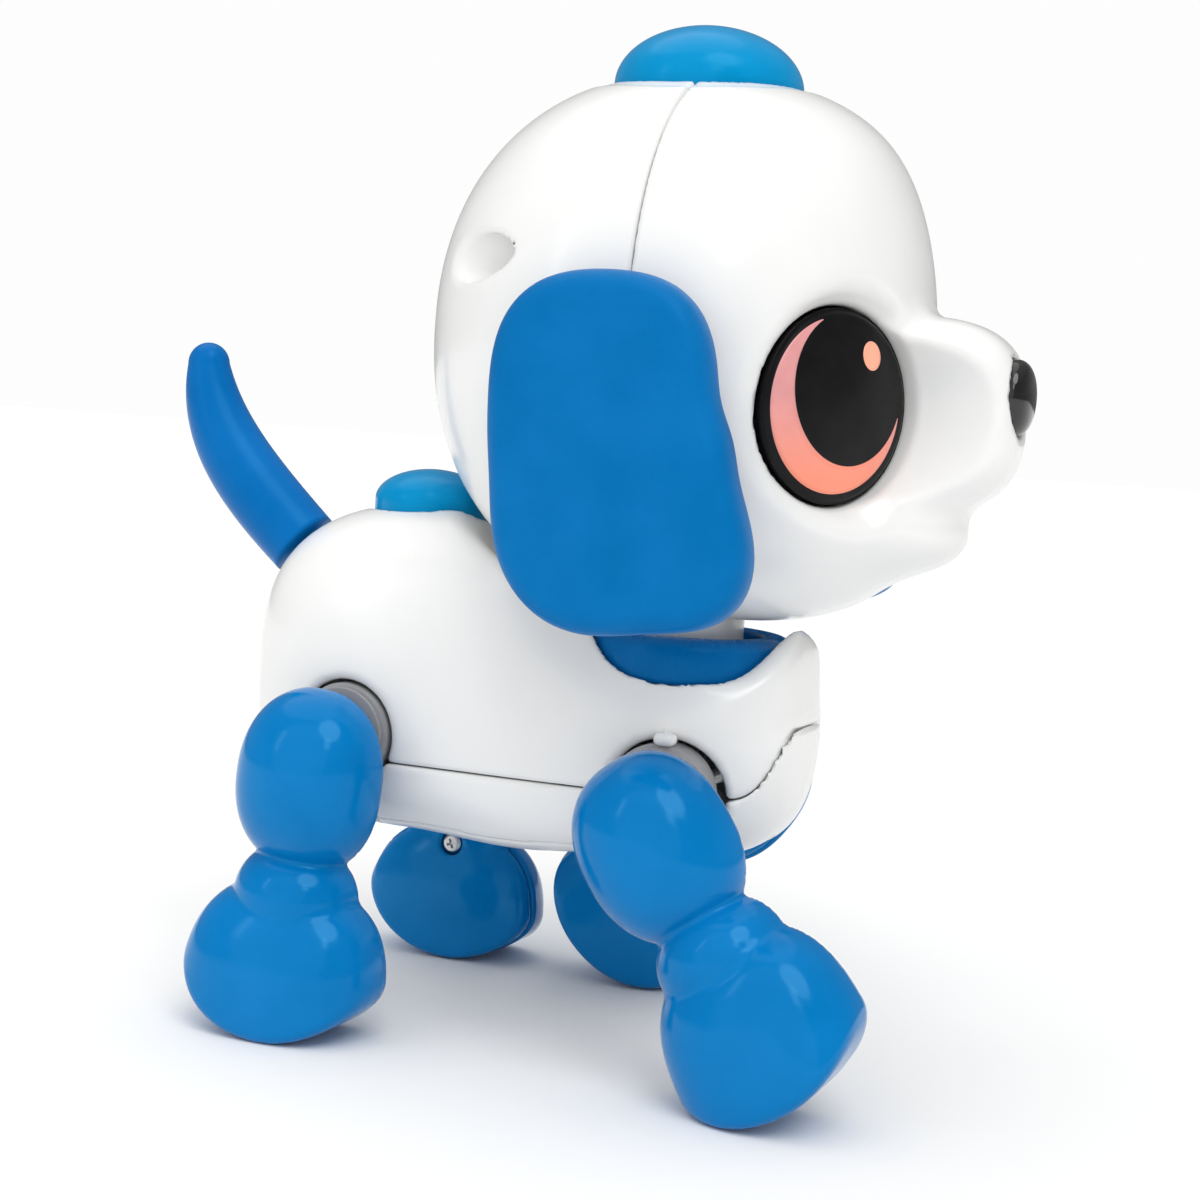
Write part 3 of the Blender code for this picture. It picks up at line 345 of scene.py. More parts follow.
def body_top_field(pts):
    px, _, pz = axes(pts)
    outer = torso_solid(pts)
    field = hollow(outer, TOP_WALL)
    for x, y in TORSO_SCREWS:
        centre, seam = (x, y, 0), seam_z(x)
        field = add_post(field, outer, pts, POST_R, seam + 1.6, 90, "z", centre)
        field = drill(field, pts, PILOT_R, 30, seam + 5, "z", centre)
    field = cut_hip_holes(pts, field)
    # small tab at the top of each front hip opening
    x, z = HIPS["front"]
    for side in (-1, 1):
        tab = ellipsoid(pts, (x + 0.6, side * 20.9, z + 8.1), (1.6, 1.5, 0.95), 3.0)
        field = union(field, tab, 0.3)
    field = drill(field, pts, NECK_R + NECK_GAP, 45, 80, "z", (NECK_X, 0, 0), 0.3, 0.4)
    field = drill(field, pts, RUMP_R + BUTTON_GAP, 66, 95, "z", (RUMP_X, 0, 0), 0.3, 0.5)
    # the socket is only worked out near the tail's root
    near = (px < -34) & (pz > 58)
    socket = np.full(pts.shape[:-1], 5.0)
    socket[near] = tail_socket(pts[near])
    field = cut(field, socket, 0.5)
    return meet(field, seam_z(px) + SEAM_GAP - pz, 0.65)


def body_bottom_field(pts):
    outer = torso_solid(pts)
    field = hollow(outer, BOTTOM_WALL)
    for x, y in TORSO_SCREWS:
        centre = (x, y, 0)
        field = add_post(field, outer, pts, 3.9, 20, seam_z(x) - 0.75, "z", centre)
        field = drill(field, pts, 2.9, 10, TORSO_SCREW_SEAT, "z", centre, soft=0.2, edge=0.5)
        field = drill(field, pts, HOLE_R, 30, 60, "z", centre)
    field = cut_hip_holes(pts, field)
    opening = rounded_box(pts, (DOOR_BACK - DOOR_GAP, -DOOR_HALF - DOOR_GAP, 15),
                          (DOOR_FRONT + DOOR_GAP, DOOR_HALF + DOOR_GAP, 36.9), 1.2)
    field = cut(field, opening, 0.3)
    # slot for the slide switch
    field = cut(field, rounded_box(pts, (-39.6, -2.2, 15), (-32.4, 2.2, 36), 0.4), 0.4)
    return meet(field, pts[..., 2] - (seam_z(pts[..., 0]) - SEAM_GAP), 0.65)


def battery_cover_field(pts):
    outer = torso_solid(pts)
    door = rounded_box(pts, (DOOR_BACK, -DOOR_HALF, 15), (DOOR_FRONT, DOOR_HALF, 36.5), 1.1)
    field = meet(hollow(outer, BOTTOM_WALL), door, 0.3)
    centre = (DOOR_SCREW_X, 0, 0)
    field = drill(field, pts, 2.5, 10, 30.6, "z", centre, soft=0.2, edge=0.4)
    field = drill(field, pts, 1.4, 20, 40, "z", centre, edge=0.2)
    # a row of five raised ribs
    for i in range(5):
        x = 3.4 + 1.5 * i
        rib = rounded_box(pts, (x - 0.35, -5.5, 20), (x + 0.35, 5.5, 40), 0.3)
        field = union(field, meet(rib, outer - 0.45, 0.3), 0.25)
    return field


def switch_field(pts):
    """Ribbed thumb on a flange."""
    thumb = rounded_box(pts, (-39.05, -1.65, 29.7), (-36.15, 1.65, 35.8), 0.35)
    flange = rounded_box(pts, (-40.8, -3.8, 34.3), (-34.6, 3.8, 36.0), 0.4)
    field = union(thumb, flange, 0.4)
    for i in range(3):
        field = drill(field, pts, 0.28, -3, 3, "y", (-38.5 + 0.9 * i, 0, 29.7))
    return field


# ------------------------------------------------------------------ leg fields
# Drawn about the hip axle, with +y away from the body.
# Lobes: centre (x, z), radii (along x, outer y, inner y, along z), power
THIGH = ((-0.8, -6.6), (11.3, 10.6, 3.4, 13.5), 2.25)
KNEE = ((-0.4, -24.2), (9.7, 9.8, 3.6, 8.2), 2.2)
FOOT_CENTRE, FOOT_RADII = (-0.6, -37.0), (12.2, 5.2, 15.4)     # radii without the one along x
FOOT_POWER, FOOT_FLARE, FOOT_SKEW = 2.7, 0.07, 0.04
FOOT_HALF = {"front": 14.4, "rear": 15.9}
SOLE_DROP = {"front": 45.5, "rear": 43.8}
ROCKER_R = 18.5
LEG_TILT = {("front", -1): -36.0, ("front", 1): 36.0, ("rear", -1): 5.0, ("rear", 1): 5.0}
LEG_SCREW = (KNEE[0][0], 0, KNEE[0][1])


def lobe(pts, centre, radii, power, flare=0.0, skew=0.0):
    px, py, pz = axes(pts)
    rx, outer, inner, rz = radii
    z = (pz - centre[1]) / rz
    width = 1.0 - flare * np.clip(z, -1.2, 1.2)
    x = (px - centre[0] - skew * z * rz) / (rx * width)
    y = py / (np.where(py > 0, outer, inner) * width)
    rho = (np.abs(x) ** power + np.abs(y) ** power + np.abs(z) ** power) ** (1.0 / power)
    return (rho - 1.0) * np.where(py > 0, min(rx, outer, rz), min(rx, rz) * 0.6)


def leg_solid(pts, end):
    x, _, z = axes(pts)
    foot = lobe(pts, FOOT_CENTRE, (FOOT_HALF[end],) + FOOT_RADII,
                FOOT_POWER, FOOT_FLARE, FOOT_SKEW)
    # curved sole
    rocker_z = ROCKER_R - (SOLE_DROP[end] - 0.15)
    rocker = np.hypot(x, z - rocker_z) - ROCKER_R
    foot = meet(foot, np.where(z > rocker_z, -5.0, rocker), 1.4)
    return union(union(lobe(pts, *THIGH), lobe(pts, *KNEE), 0.7), foot, 0.6)


def outer_leg_field(pts, end):
    outer = leg_solid(pts, end)
    field = hollow(outer, 1.7)
    field = add_post(field, outer, pts, 2.3, -20, 20, "y", LEG_SCREW, inset=0.7)
    field = meet(field, 0.12 - pts[..., 1], 0.45)
    return drill(field, pts, 1.05, -5, 4.8, "y", LEG_SCREW)


def inner_leg_field(pts, end):
    outer = leg_solid(pts, end) + 0.28
    field = hollow(outer, 1.7)
    field = add_post(field, outer, pts, 2.9, -20, 20, "y", LEG_SCREW, inset=0.7)
    field = meet(field, pts[..., 1] + 0.12, 0.45)
    field = drill(field, pts, 2.0, -20, -2.0, "y", LEG_SCREW, edge=0.3)
    field = drill(field, pts, 1.2, -12, 5, "y", LEG_SCREW, edge=0.2)
    return drill(field, pts, AXLE_R + 0.25, -20, 5, "y", (0, 0, 0), edge=0.25)


# ------------------------------------------------------------------ surfacing
def surface(field, low, high, cell):
    """Quad surface of a field's zero level, relaxed and drawn back onto the level."""
    low, high = np.array(low, float), np.array(high, float)
    count = np.ceil((high - low) / cell).astype(int) + 1
    grid = [low[i] + cell * np.arange(count[i]) for i in range(3)]
    values = np.empty(tuple(count))
    for i in range(0, count[0], 6):
        slab = np.meshgrid(grid[0][i:i + 6], grid[1], grid[2], indexing="ij")
        values[i:i + 6] = field(np.stack(slab, -1))
    values[values == 0] = 1e-9
    inside = values < 0
    cells = count - 1
    total = int(np.prod(cells))
    position_sum = np.zeros((total, 3))
    crossings = np.zeros(total)
    quads = []
    # each crossed grid edge gives one quad between its four cells
    for axis in range(3):
        start, stop = [slice(None)] * 3, [slice(None)] * 3
        start[axis], stop[axis] = slice(0, -1), slice(1, None)
        start, stop = tuple(start), tuple(stop)
        crossed = inside[start] != inside[stop]
        index = np.argwhere(crossed)
        if not len(index):
            continue
        va, vb = values[start][crossed], values[stop][crossed]
        pos = low + index * cell
        pos[:, axis] += va / (va - vb) * cell
        j, k = [other for other in range(3) if other != axis]
        keep = ((index[:, j] > 0) & (index[:, k] > 0)
                & (index[:, j] < cells[j]) & (index[:, k] < cells[k]))
        index, pos, start_in = index[keep], pos[keep], inside[start][crossed][keep]
        corners = []
        for dj, dk in ((-1, -1), (0, -1), (0, 0), (-1, 0)):
            near = index.copy()
            near[:, j] += dj
            near[:, k] += dk
            key = (near[:, 0] * cells[1] + near[:, 1]) * cells[2] + near[:, 2]
            corners.append(key)
            for i in range(3):
                position_sum[:, i] += np.bincount(key, weights=pos[:, i], minlength=total)
            crossings += np.bincount(key, minlength=total)
        quad = np.stack(corners, -1)
        flip = start_in ^ (axis != 1)
        quad[flip] = quad[flip][:, ::-1]
        quads.append(quad)
    used = np.nonzero(crossings > 0)[0]
    remap = np.full(total, -1, np.int64)
    remap[used] = np.arange(len(used))
    verts = position_sum[used] / crossings[used][:, None]
    faces = remap[np.concatenate(quads)]

    def pull(pts):
        """One damped Newton step towards the level."""
        e = 0.03
        value = field(pts)
        slope = np.stack([field(pts + np.eye(3)[i] * e) - field(pts - np.eye(3)[i] * e)
                          for i in range(3)], -1) / (2 * e)
        step = value[:, None] * slope / np.maximum((slope * slope).sum(-1), 0.05)[:, None]
        length = np.linalg.norm(step, axis=1)[:, None]
        return pts - step * np.minimum(1.0, 0.4 * cell / np.maximum(length, 1e-9))

    edges = np.concatenate([faces[:, [i, (i + 1) % 4]] for i in range(4)])
    edges = np.concatenate([edges, edges[:, ::-1]])
    here, there = edges[:, 0], edges[:, 1]
    degree = np.bincount(here, minlength=len(verts)).astype(float)
    for _ in range(3):
        mean = np.stack([np.bincount(here, weights=verts[there, i], minlength=len(verts))
                         for i in range(3)], -1) / np.maximum(degree, 1)[:, None]
        verts = pull(pull(verts * 0.5 + mean * 0.5))
    return verts, faces[:, ::-1]


# ------------------------------------------------------------------ materials
def srgb(*levels):
    """Linear colour from 0-255 display levels."""
    shares = [level / 255.0 for level in levels]
    return tuple(c / 12.92 if c <= 0.04045 else ((c + 0.055) / 1.055) ** 2.4 for c in shares)


def plastic(name, colour, rough, vary, cloud, rough_vary, grain, bump_strength,
            coat, metal, specular, tint=(1, 1, 1)):
    """Moulded surface: cloudy colour, uneven gloss and a fine grain."""
    material = bpy.data.materials.new(name)
    material.use_nodes = True
    nodes, link = material.node_tree.nodes, material.node_tree.links.new
    shader = nodes["Principled BSDF"]
    coords = nodes.new("ShaderNodeTexCoord")

    def noise(scale, detail):
        texture = nodes.new("ShaderNodeTexNoise")
        texture.inputs["Scale"].default_value = scale
        texture.inputs["Detail"].default_value = detail
        link(coords.outputs["Object"], texture.inputs["Vector"])
        return texture.outputs["Fac"]

    clouds = noise(cloud, detail=3.0)
    ramp = nodes.new("ShaderNodeValToRGB")
    dark, light = ramp.color_ramp.elements
    dark.position, light.position = 0.35, 0.65
    dark.color = tuple(max(c * (1 - vary), 0) for c in colour) + (1,)
    light.color = tuple(min(c * (1 + vary) + 0.002, 1) for c in colour) + (1,)
    link(clouds, ramp.inputs["Fac"])
    link(ramp.outputs["Color"], shader.inputs["Base Color"])

    smears = noise(300.0, detail=4.0)
    gloss = nodes.new("ShaderNodeMapRange")
    gloss.inputs["To Min"].default_value = max(rough - rough_vary, 0.02)
    gloss.inputs["To Max"].default_value = rough + rough_vary
    link(smears, gloss.inputs["Value"])
    link(gloss.outputs["Result"], shader.inputs["Roughness"])

    grains = noise(grain, detail=2.0)
    bump = nodes.new("ShaderNodeBump")
    bump.inputs["Strength"].default_value = bump_strength
    bump.inputs["Distance"].default_value = 0.0002
    link(grains, bump.inputs["Height"])
    link(bump.outputs["Normal"], shader.inputs["Normal"])

    shader.inputs["Metallic"].default_value = metal
    shader.inputs["Specular IOR Level"].default_value = specular
    shader.inputs["Coat Weight"].default_value = coat
    shader.inputs["Coat Roughness"].default_value = 0.06
    shader.inputs["Specular Tint"].default_value = tuple(tint) + (1,)
    material["out"] = 1     # custom property set on the material
    return material


BLUE_SHEEN = (0.2, 0.72, 1.0)
LEG_SHEEN = (0.3, 0.78, 1.0)
# Name, slot, colour, then: roughness, colour spread, cloud scale, roughness spread,
# grain scale, grain bump, coat, metallic, specular level and, for some, specular tint
MATERIAL_TABLE = (
    ("shell_white", "white_gloss_shell", (0.86, 0.86, 0.85),
     0.24, 0.012, 60, 0.05, 700, 0.03, 0.25, 0, 0.5),
    ("ear_blue_satin", "ear_blue", srgb(0, 107, 174),
     0.42, 0.05, 90, 0.07, 2600, 0.22, 0, 0, 0.18, BLUE_SHEEN),
    ("collar_blue", "ear_blue", srgb(0, 98, 164),
     0.28, 0.04, 90, 0.05, 1200, 0.06, 0, 0, 0.22, BLUE_SHEEN),
    ("button_blue", "button_blue", srgb(0, 142, 200),
     0.22, 0.04, 120, 0.05, 900, 0.04, 0, 0, 0.3, BLUE_SHEEN),
    ("tail_blue", "leg_blue", srgb(0, 103, 176),
     0.30, 0.05, 90, 0.06, 1400, 0.08, 0, 0, 0.22, BLUE_SHEEN),
    ("leg_blue_gloss", "leg_blue", srgb(0, 116, 184),
     0.14, 0.04, 80, 0.05, 900, 0.035, 0, 0, 0.34, LEG_SHEEN),
    ("eye_print_black", "eye_black", (0.006, 0.006, 0.007),
     0.34, 0.1, 200, 0.04, 600, 0.02, 0, 0, 0.14),
    ("nose_black", "nose_black", (0.008, 0.008, 0.008),
     0.12, 0.1, 200, 0.03, 600, 0.03, 0.4, 0, 0.5),
    ("hub_grey", "hub_grey", (0.30, 0.30, 0.31), 0.30, 0.05, 200, 0.08, 900, 0.06, 0, 0, 0.5),
    ("screw_steel", "steel", (0.55, 0.55, 0.56), 0.28, 0.08, 500, 0.08, 2500, 0.10, 0, 1, 0.5),
    ("black_plastic", "black_plastic", (0.02, 0.02, 0.022),
     0.4, 0.15, 300, 0.08, 1500, 0.12, 0, 0, 0.5),
    ("acetal_gear", None, (0.80, 0.77, 0.66), 0.35, 0.03, 250, 0.06, 900, 0.05, 0, 0, 0.5),
    ("board_green", None, (0.02, 0.13, 0.05), 0.3, 0.25, 700, 0.08, 2500, 0.15, 0.3, 0, 0.5),
    ("cell_jacket", None, (0.09, 0.10, 0.12), 0.25, 0.1, 300, 0.05, 1500, 0.05, 0.3, 0, 0.5),
    ("eye_crescent_pink", "eye_black", srgb(206, 140, 140),
     0.3, 0.04, 300, 0.05, 900, 0.03, 0.3, 0, 0.5),
    ("eye_spot_salmon", "eye_black", srgb(240, 160, 132),
     0.3, 0.04, 300, 0.05, 900, 0.03, 0.3, 0, 0.5),
    ("floor_pale", None, (0.88, 0.88, 0.88), 0.8, 0.002, 3, 0.02, 40, 0, 0, 0, 0),
)
MATERIALS = {name: plastic(name, *values) for name, _, *values in MATERIAL_TABLE}
SLOTS = {name: slot for name, slot, *_ in MATERIAL_TABLE}


def light_up(name, lower_colour, top_z=98.5, bottom_z=87.5, strength=0.25):
    """Makes a print glow, its colour running into another lower down."""
    tree = MATERIALS[name].node_tree
    nodes, link = tree.nodes, tree.links.new
    shader = nodes["Principled BSDF"]
    upper = shader.inputs["Base Color"].links[0].from_socket
    coords = nodes.new("ShaderNodeTexCoord")
    split = nodes.new("ShaderNodeSeparateXYZ")
    link(coords.outputs["Object"], split.inputs["Vector"])
    fade = nodes.new("ShaderNodeMapRange")
    fade.inputs["From Min"].default_value = (top_z + SHIFT[2]) * MM
    fade.inputs["From Max"].default_value = (bottom_z + SHIFT[2]) * MM
    link(split.outputs["Z"], fade.inputs["Value"])
    blend = nodes.new("ShaderNodeMix")
    blend.data_type = "RGBA"
    link(fade.outputs["Result"], blend.inputs["Factor"])
    link(upper, blend.inputs["A"])
    blend.inputs["B"].default_value = lower_colour + (1,)
    link(blend.outputs["Result"], shader.inputs["Base Color"])
    link(blend.outputs["Result"], shader.inputs["Emission Color"])
    shader.inputs["Emission Strength"].default_value = strength


light_up("eye_crescent_pink", srgb(232, 132, 104))
light_up("eye_spot_salmon", srgb(244, 166, 138))


# ------------------------------------------------------------------ mesh building
def add_piece(name, mesh, material, body=ROOT, *replaced):
    """Object from design (vertices, faces); it rides a body and stands in for CAD pieces."""
    verts, faces = mesh
    verts = (np.asarray(verts, float) + SHIFT) * MM
    data = bpy.data.meshes.new(name)
    data.from_pydata(verts.tolist(), [], [tuple(int(i) for i in face) for face in faces])
    bm = bmesh.new()
    bm.from_mesh(data)
    bmesh.ops.recalc_face_normals(bm, faces=bm.faces[:])
    bm.to_mesh(data)
    bm.free()
    piece = bpy.data.objects.new(name, data)
    bpy.context.scene.collection.objects.link(piece)
    data.materials.append(MATERIALS[material])
    data.polygons.foreach_set("use_smooth", np.ones(len(data.polygons), bool))
    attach(piece, body)
    if replaced:
        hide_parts(*replaced)
    return piece


def sharpen(piece, degrees=35.0):
    """Crisp edges where two faces meet at more than the given angle."""
    bm = bmesh.new()
    bm.from_mesh(piece.data)
    for edge in bm.edges:
        if len(edge.link_faces) == 2 and edge.calc_face_angle(0.0) > math.radians(degrees):
            edge.smooth = False
    bm.to_mesh(piece.data)
    bm.free()


def skin(rings, first, last):
    """Tube through rings of points, closed by a fan to a point at each end."""
    n = len(rings[0])
    verts = [point for ring in rings for point in ring] + [first, last]
    faces = []
    for a in range(0, (len(rings) - 1) * n, n):
        b = a + n
        for j in range(n):
            k = (j + 1) % n
            faces.append((a + j, a + k, b + k, b + j))
    end = (len(rings) - 1) * n
    tip = len(verts) - 2
    for j in range(n):
        k = (j + 1) % n
        faces += [(tip, k, j), (tip + 1, end + j, end + k)]
    return verts, faces


def lathe(profile, segments, axis="z", centre=(0, 0, 0)):
    """Profile of (radius, height) turned about an axis; closed if it starts off the axis."""
    verts, rings, faces = [], [], []
    for r, h in profile:
        if r < 1e-6:
            rings.append([len(verts)])
            verts.append((0.0, 0.0, h))
        else:
            rings.append(list(range(len(verts), len(verts) + segments)))
            angles = [2 * math.pi * j / segments for j in range(segments)]
            verts += [(r * math.cos(a), r * math.sin(a), h) for a in angles]
    pairs = list(zip(rings, rings[1:]))
    if profile[0][0] > 1e-6:
        pairs.append((rings[-1], rings[0]))
    for a, b in pairs:
        for j in range(segments):
            k = (j + 1) % segments
            if len(a) == 1:
                faces.append((a[0], b[j], b[k]))
            elif len(b) == 1:
                faces.append((a[j], a[k], b[0]))
            else:
                faces.append((a[j], a[k], b[k], b[j]))
    order = {"x": [2, 0, 1], "y": [0, 2, 1], "z": [0, 1, 2]}[axis]
    return np.array(verts)[:, order] + np.array(centre, float), faces


def round_profile(profile, radius, steps, closed=False):
    """Rounds the corners of a (radius, height) profile."""
    corners = [np.array(p, float) for p in profile]
    out = []
    n = len(corners)
    for i, p in enumerate(corners):
        if not closed and i in (0, n - 1):
            out.append(tuple(p))
            continue
        a, b = corners[i - 1] - p, corners[(i + 1) % n] - p
        len_a, len_b = np.linalg.norm(a), np.linalg.norm(b)
        reach = min(radius, 0.45 * len_a, 0.45 * len_b)
        pa, pb = p + a / len_a * reach, p + b / len_b * reach
        for s in np.linspace(0, 1, steps + 1):
            q = (1 - s) ** 2 * pa + 2 * s * (1 - s) * p + s * s * pb
            out.append((max(float(q[0]), 0.0), float(q[1])))
    return out


def cut_cross(piece, centre, facing, size, depth, width):
    """Cross recess pressed into a screw head, square to its face."""
    turn = Vector(facing).normalized().to_track_quat("Z", "Y").to_matrix().to_4x4()
    bm = bmesh.new()
    for angle in (0.35, 0.35 + math.pi / 2):
        bar = bmesh.ops.create_cube(bm, size=1.0)
        shape = Matrix.Rotation(angle, 4, "Z") @ Matrix.Diagonal((size, width, depth * 2, 1))
        bmesh.ops.transform(bm, matrix=shape, verts=bar["verts"])
    # the recess narrows as it goes in
    for vert in bm.verts:
        if vert.co.z < 0:
            vert.co.x *= 0.55
            vert.co.y *= 0.55
    bmesh.ops.scale(bm, vec=(MM, MM, MM), verts=bm.verts)
    place = Matrix.Translation(Vector((centre + SHIFT) * MM)) @ turn
    bmesh.ops.transform(bm, matrix=place, verts=bm.verts)
    data = bpy.data.meshes.new("cross_tool")
    bm.to_mesh(data)
    bm.free()
    tool = bpy.data.objects.new("cross_tool", data)
    bpy.context.scene.collection.objects.link(tool)
    boolean = piece.modifiers.new("cross", "BOOLEAN")
    boolean.operation = "DIFFERENCE"
    boolean.solver = "EXACT"
    boolean.use_self = True
    boolean.object = tool
    bpy.context.view_layer.update()
    graph = bpy.context.evaluated_depsgraph_get()
    result = bpy.data.meshes.new_from_object(piece.evaluated_get(graph))
    piece.modifiers.clear()
    # keeps the plain head if the boolean comes back all but empty
    if len(result.polygons) > 20:
        materials = list(piece.data.materials)
        piece.data = result
        result.materials.clear()
        for material in materials:
            result.materials.append(material)
    bpy.data.objects.remove(tool, do_unlink=True)


# Radii (face, head, shank), corner rounding, cross (size, depth, width)
SCREW_KINDS = {
    "leg": ((1.3, 1.75, 0.85), 0.15, (2.1, 0.7, 0.5)),
    "head": ((2.0, 2.7, 1.1), 0.2, (3.2, 1.0, 0.62)),
    "body": ((1.8, 2.4, 1.1), 0.2, (2.9, 0.9, 0.62)),
    "door": ((1.8, 2.2, 1.1), 0.15, (2.7, 0.8, 0.62)),
}


def add_screw(name, replaced, kind, heights, axis, centre, facing,
              body=ROOT, segments=40, place=np.asarray):
    """Heights along the axis: face, head edge, under the head, end of the shank, tip."""
    (face_r, head_r, shank_r), rounding, cross = SCREW_KINDS[kind]
    face, edge, under, shank, tip = heights
    profile = round_profile(
        [(0, face), (face_r, face), (head_r, edge), (head_r, under),
         (shank_r, under), (shank_r, shank), (0, tip)], rounding, 3)
    verts, faces = lathe(profile, segments, axis, centre)
    recess = np.array(centre, float)
    recess["xyz".index(axis)] += face - 0.05
    screw = add_piece(name, (place(verts), faces), "screw_steel", body, replaced)
    cut_cross(screw, place([recess])[0], facing, *cross)
    sharpen(screw)


# ------------------------------------------------------------------ shells
CELL = 0.62
HEAD_TOP, BODY_LOW_X, BODY_HIGH_X, BODY_HALF = 150, -60, 38, 27
# Name, CAD piece, field, low and high corner of its box, cell size
SHELLS = (
    ("face_shell", "head_front_shell", face_field, (13, -40, 60), (66, 40, HEAD_TOP), CELL),
    ("back_of_head_shell", "head_rear_shell", back_of_head_field,
     (-30, -40, 60), (18, 40, HEAD_TOP), CELL),
    ("body_top_shell", "torso_top_shell", body_top_field,
     (BODY_LOW_X, -BODY_HALF, 36), (BODY_HIGH_X, BODY_HALF, 84), CELL),
    ("body_bottom_shell", "torso_bottom_shell", body_bottom_field,
     (BODY_LOW_X, -BODY_HALF, 24), (BODY_HIGH_X, BODY_HALF, 56), CELL),
    ("battery_cover", "battery_door", battery_cover_field,
     (-30, -18, 24), (14, 18, 40), CELL * 0.8),
)
for name, node, field, low, high, cell in SHELLS:
    add_piece(name, surface(field, low, high, cell), "shell_white", ROOT, node)

# ------------------------------------------------------------------ legs
LEG_CELL = 0.5
# Half, field, y range
LEG_HALVES = (("outer", outer_leg_field, -1.5, 15.0), ("inner", inner_leg_field, -8.0, 1.5))
HUB_IN, HUB_OUT = 16.5 - LEG_Y, 22.9 - LEG_Y
HUB_BORE = AXLE_R + 0.2
HUB_PROFILE = (
    (HUB_BORE, HUB_IN), (3.4, HUB_IN), (3.4, HUB_IN + 0.8), (6.2, HUB_IN + 0.8),
    (6.2, HUB_IN), (HUB_R, HUB_IN), (HUB_R, HUB_OUT - 1.6), (HUB_R - 0.5, HUB_OUT - 1.1),
    (HUB_R - 0.5, HUB_OUT), (HUB_BORE, HUB_OUT))


def add_leg(end, side):
    body = "%s_%s_leg" % (SIDE_NAMES[side], end)

    def place(verts):
        """Tilts the leg about its axle and sets it at its hip."""
        vx, vy, vz = axes(np.asarray(verts, float))
        tilt = math.radians(LEG_TILT[end, side])
        x = vx * math.cos(tilt) + vz * math.sin(tilt)
        z = -vx * math.sin(tilt) + vz * math.cos(tilt)
        hip_x, hip_z = HIPS[end]
        return np.stack([x + hip_x, side * (LEG_Y + vy), z + hip_z], -1)

    for half, *_ in LEG_HALVES:
        verts, faces = leg_meshes[end, half]
        add_piece("%s_%s_half" % (body, half), (place(verts), faces),
                  "leg_blue_gloss", body, "%s_%s" % (body, half))
    add_screw(body + "_fixing", body + "_screw", "leg", (-3.4, -3.0, -2.1, 3.6, 4.2),
              "y", LEG_SCREW, (0, -side, 0), body, segments=32, place=place)
    verts, faces = lathe(round_profile(HUB_PROFILE, 0.3, 3, closed=True), 72, "y")
    hub = add_piece(body + "_drum", (place(verts), faces), "hub_grey", body, body + "_hub")
    sharpen(hub, 40)


leg_meshes = {}
for end in ("front", "rear"):
    for half, field, low_y, high_y in LEG_HALVES:
        leg_meshes[end, half] = surface(
            lambda pts: field(pts, end), (-19, low_y, -51), (18, high_y, 10), LEG_CELL)
for end in ("front", "rear"):
    for side in (-1, 1):
        add_leg(end, side)

# ------------------------------------------------------------------ eyes
# Drawn in the eye plane: u towards the nose, v up, w out of the face.
CRESCENT_OUTER, CRESCENT_OUTER_R = np.array([-0.69, 0.12]), 12.01
CRESCENT_INNER, CRESCENT_INNER_R = np.array([1.25, 2.52]), 10.5
SPOT_U, SPOT_V, SPOT_RU, SPOT_RV = 4.73, 7.26, 1.85, 2.0
PRINT_LIFT, PRINT_THICK = 0.05, 0.10
DISC_BACK = [(13.38, -0.95), (EYE_R, -1.2), (EYE_R, -2.4), (11.8, -3.4), (0, -3.4)]


def lens_height(r):
    r = np.asarray(r, float)
    return 1.3 - 0.0108 * r ** 2 - 0.9 * np.clip((r - 12.4) / 1.0, 0, 1) ** 3


def place_eye(side, mesh):
    uvw, faces = np.asarray(mesh[0], float), mesh[1]
    centre, normal, inward = eye_frame(side)
    up = np.array([0, 0, 1.0])
    return centre + uvw[:, :1] * inward + uvw[:, 1:2] * up + uvw[:, 2:] * normal, faces


def print_layers(uv):
    """Vertices of a thin print on the lens: its top layer, then its bottom layer."""
    top = lens_height(np.hypot(uv[:, 0], uv[:, 1])) + PRINT_LIFT
    return np.concatenate([np.c_[uv, top], np.c_[uv, top - PRINT_THICK]])


def crescent_mesh():
    """Closed patch between two circles."""
    offset = CRESCENT_INNER - CRESCENT_OUTER
    apart = np.hypot(*offset)
    heading = math.atan2(offset[1], offset[0])

    def half_angle(own, other):
        """Half angle between the meeting points of the circles, seen from one centre."""
        return math.acos((apart * apart + own * own - other * other) / (2 * apart * own))

    def arc(centre, radius, start, end):
        t = np.linspace(start, end, 97)
        return (centre + radius * np.stack([np.cos(t), np.sin(t)], -1))[1:-1]

    half = half_angle(CRESCENT_OUTER_R, CRESCENT_INNER_R)
    outer = arc(CRESCENT_OUTER, CRESCENT_OUTER_R, heading + half, heading + 2 * math.pi - half)
    half = half_angle(CRESCENT_INNER_R, CRESCENT_OUTER_R)
    inner = arc(CRESCENT_INNER, CRESCENT_INNER_R,
                heading + math.pi - half, heading + math.pi + half)
    grid = np.array([outer * (1 - s) + inner * s for s in np.linspace(0, 1, 7)])
    rows, cols = grid.shape[:2]
    n = rows * cols
    faces = []
    for i in range(rows - 1):
        for j in range(cols - 1):
            a = i * cols + j
            b, c, d = a + 1, a + cols + 1, a + cols
            faces += [(a, b, c, d), (n + a, n + d, n + c, n + b)]
    rim = list(range(cols))
    rim += [i * cols + cols - 1 for i in range(1, rows)]
    rim += [(rows - 1) * cols + j for j in range(cols - 2, -1, -1)]
    rim += [i * cols for i in range(rows - 2, 0, -1)]
    for a, b in zip(rim, rim[1:] + rim[:1]):
        faces.append((a, n + a, n + b, b))
    return print_layers(grid.reshape(-1, 2)), faces


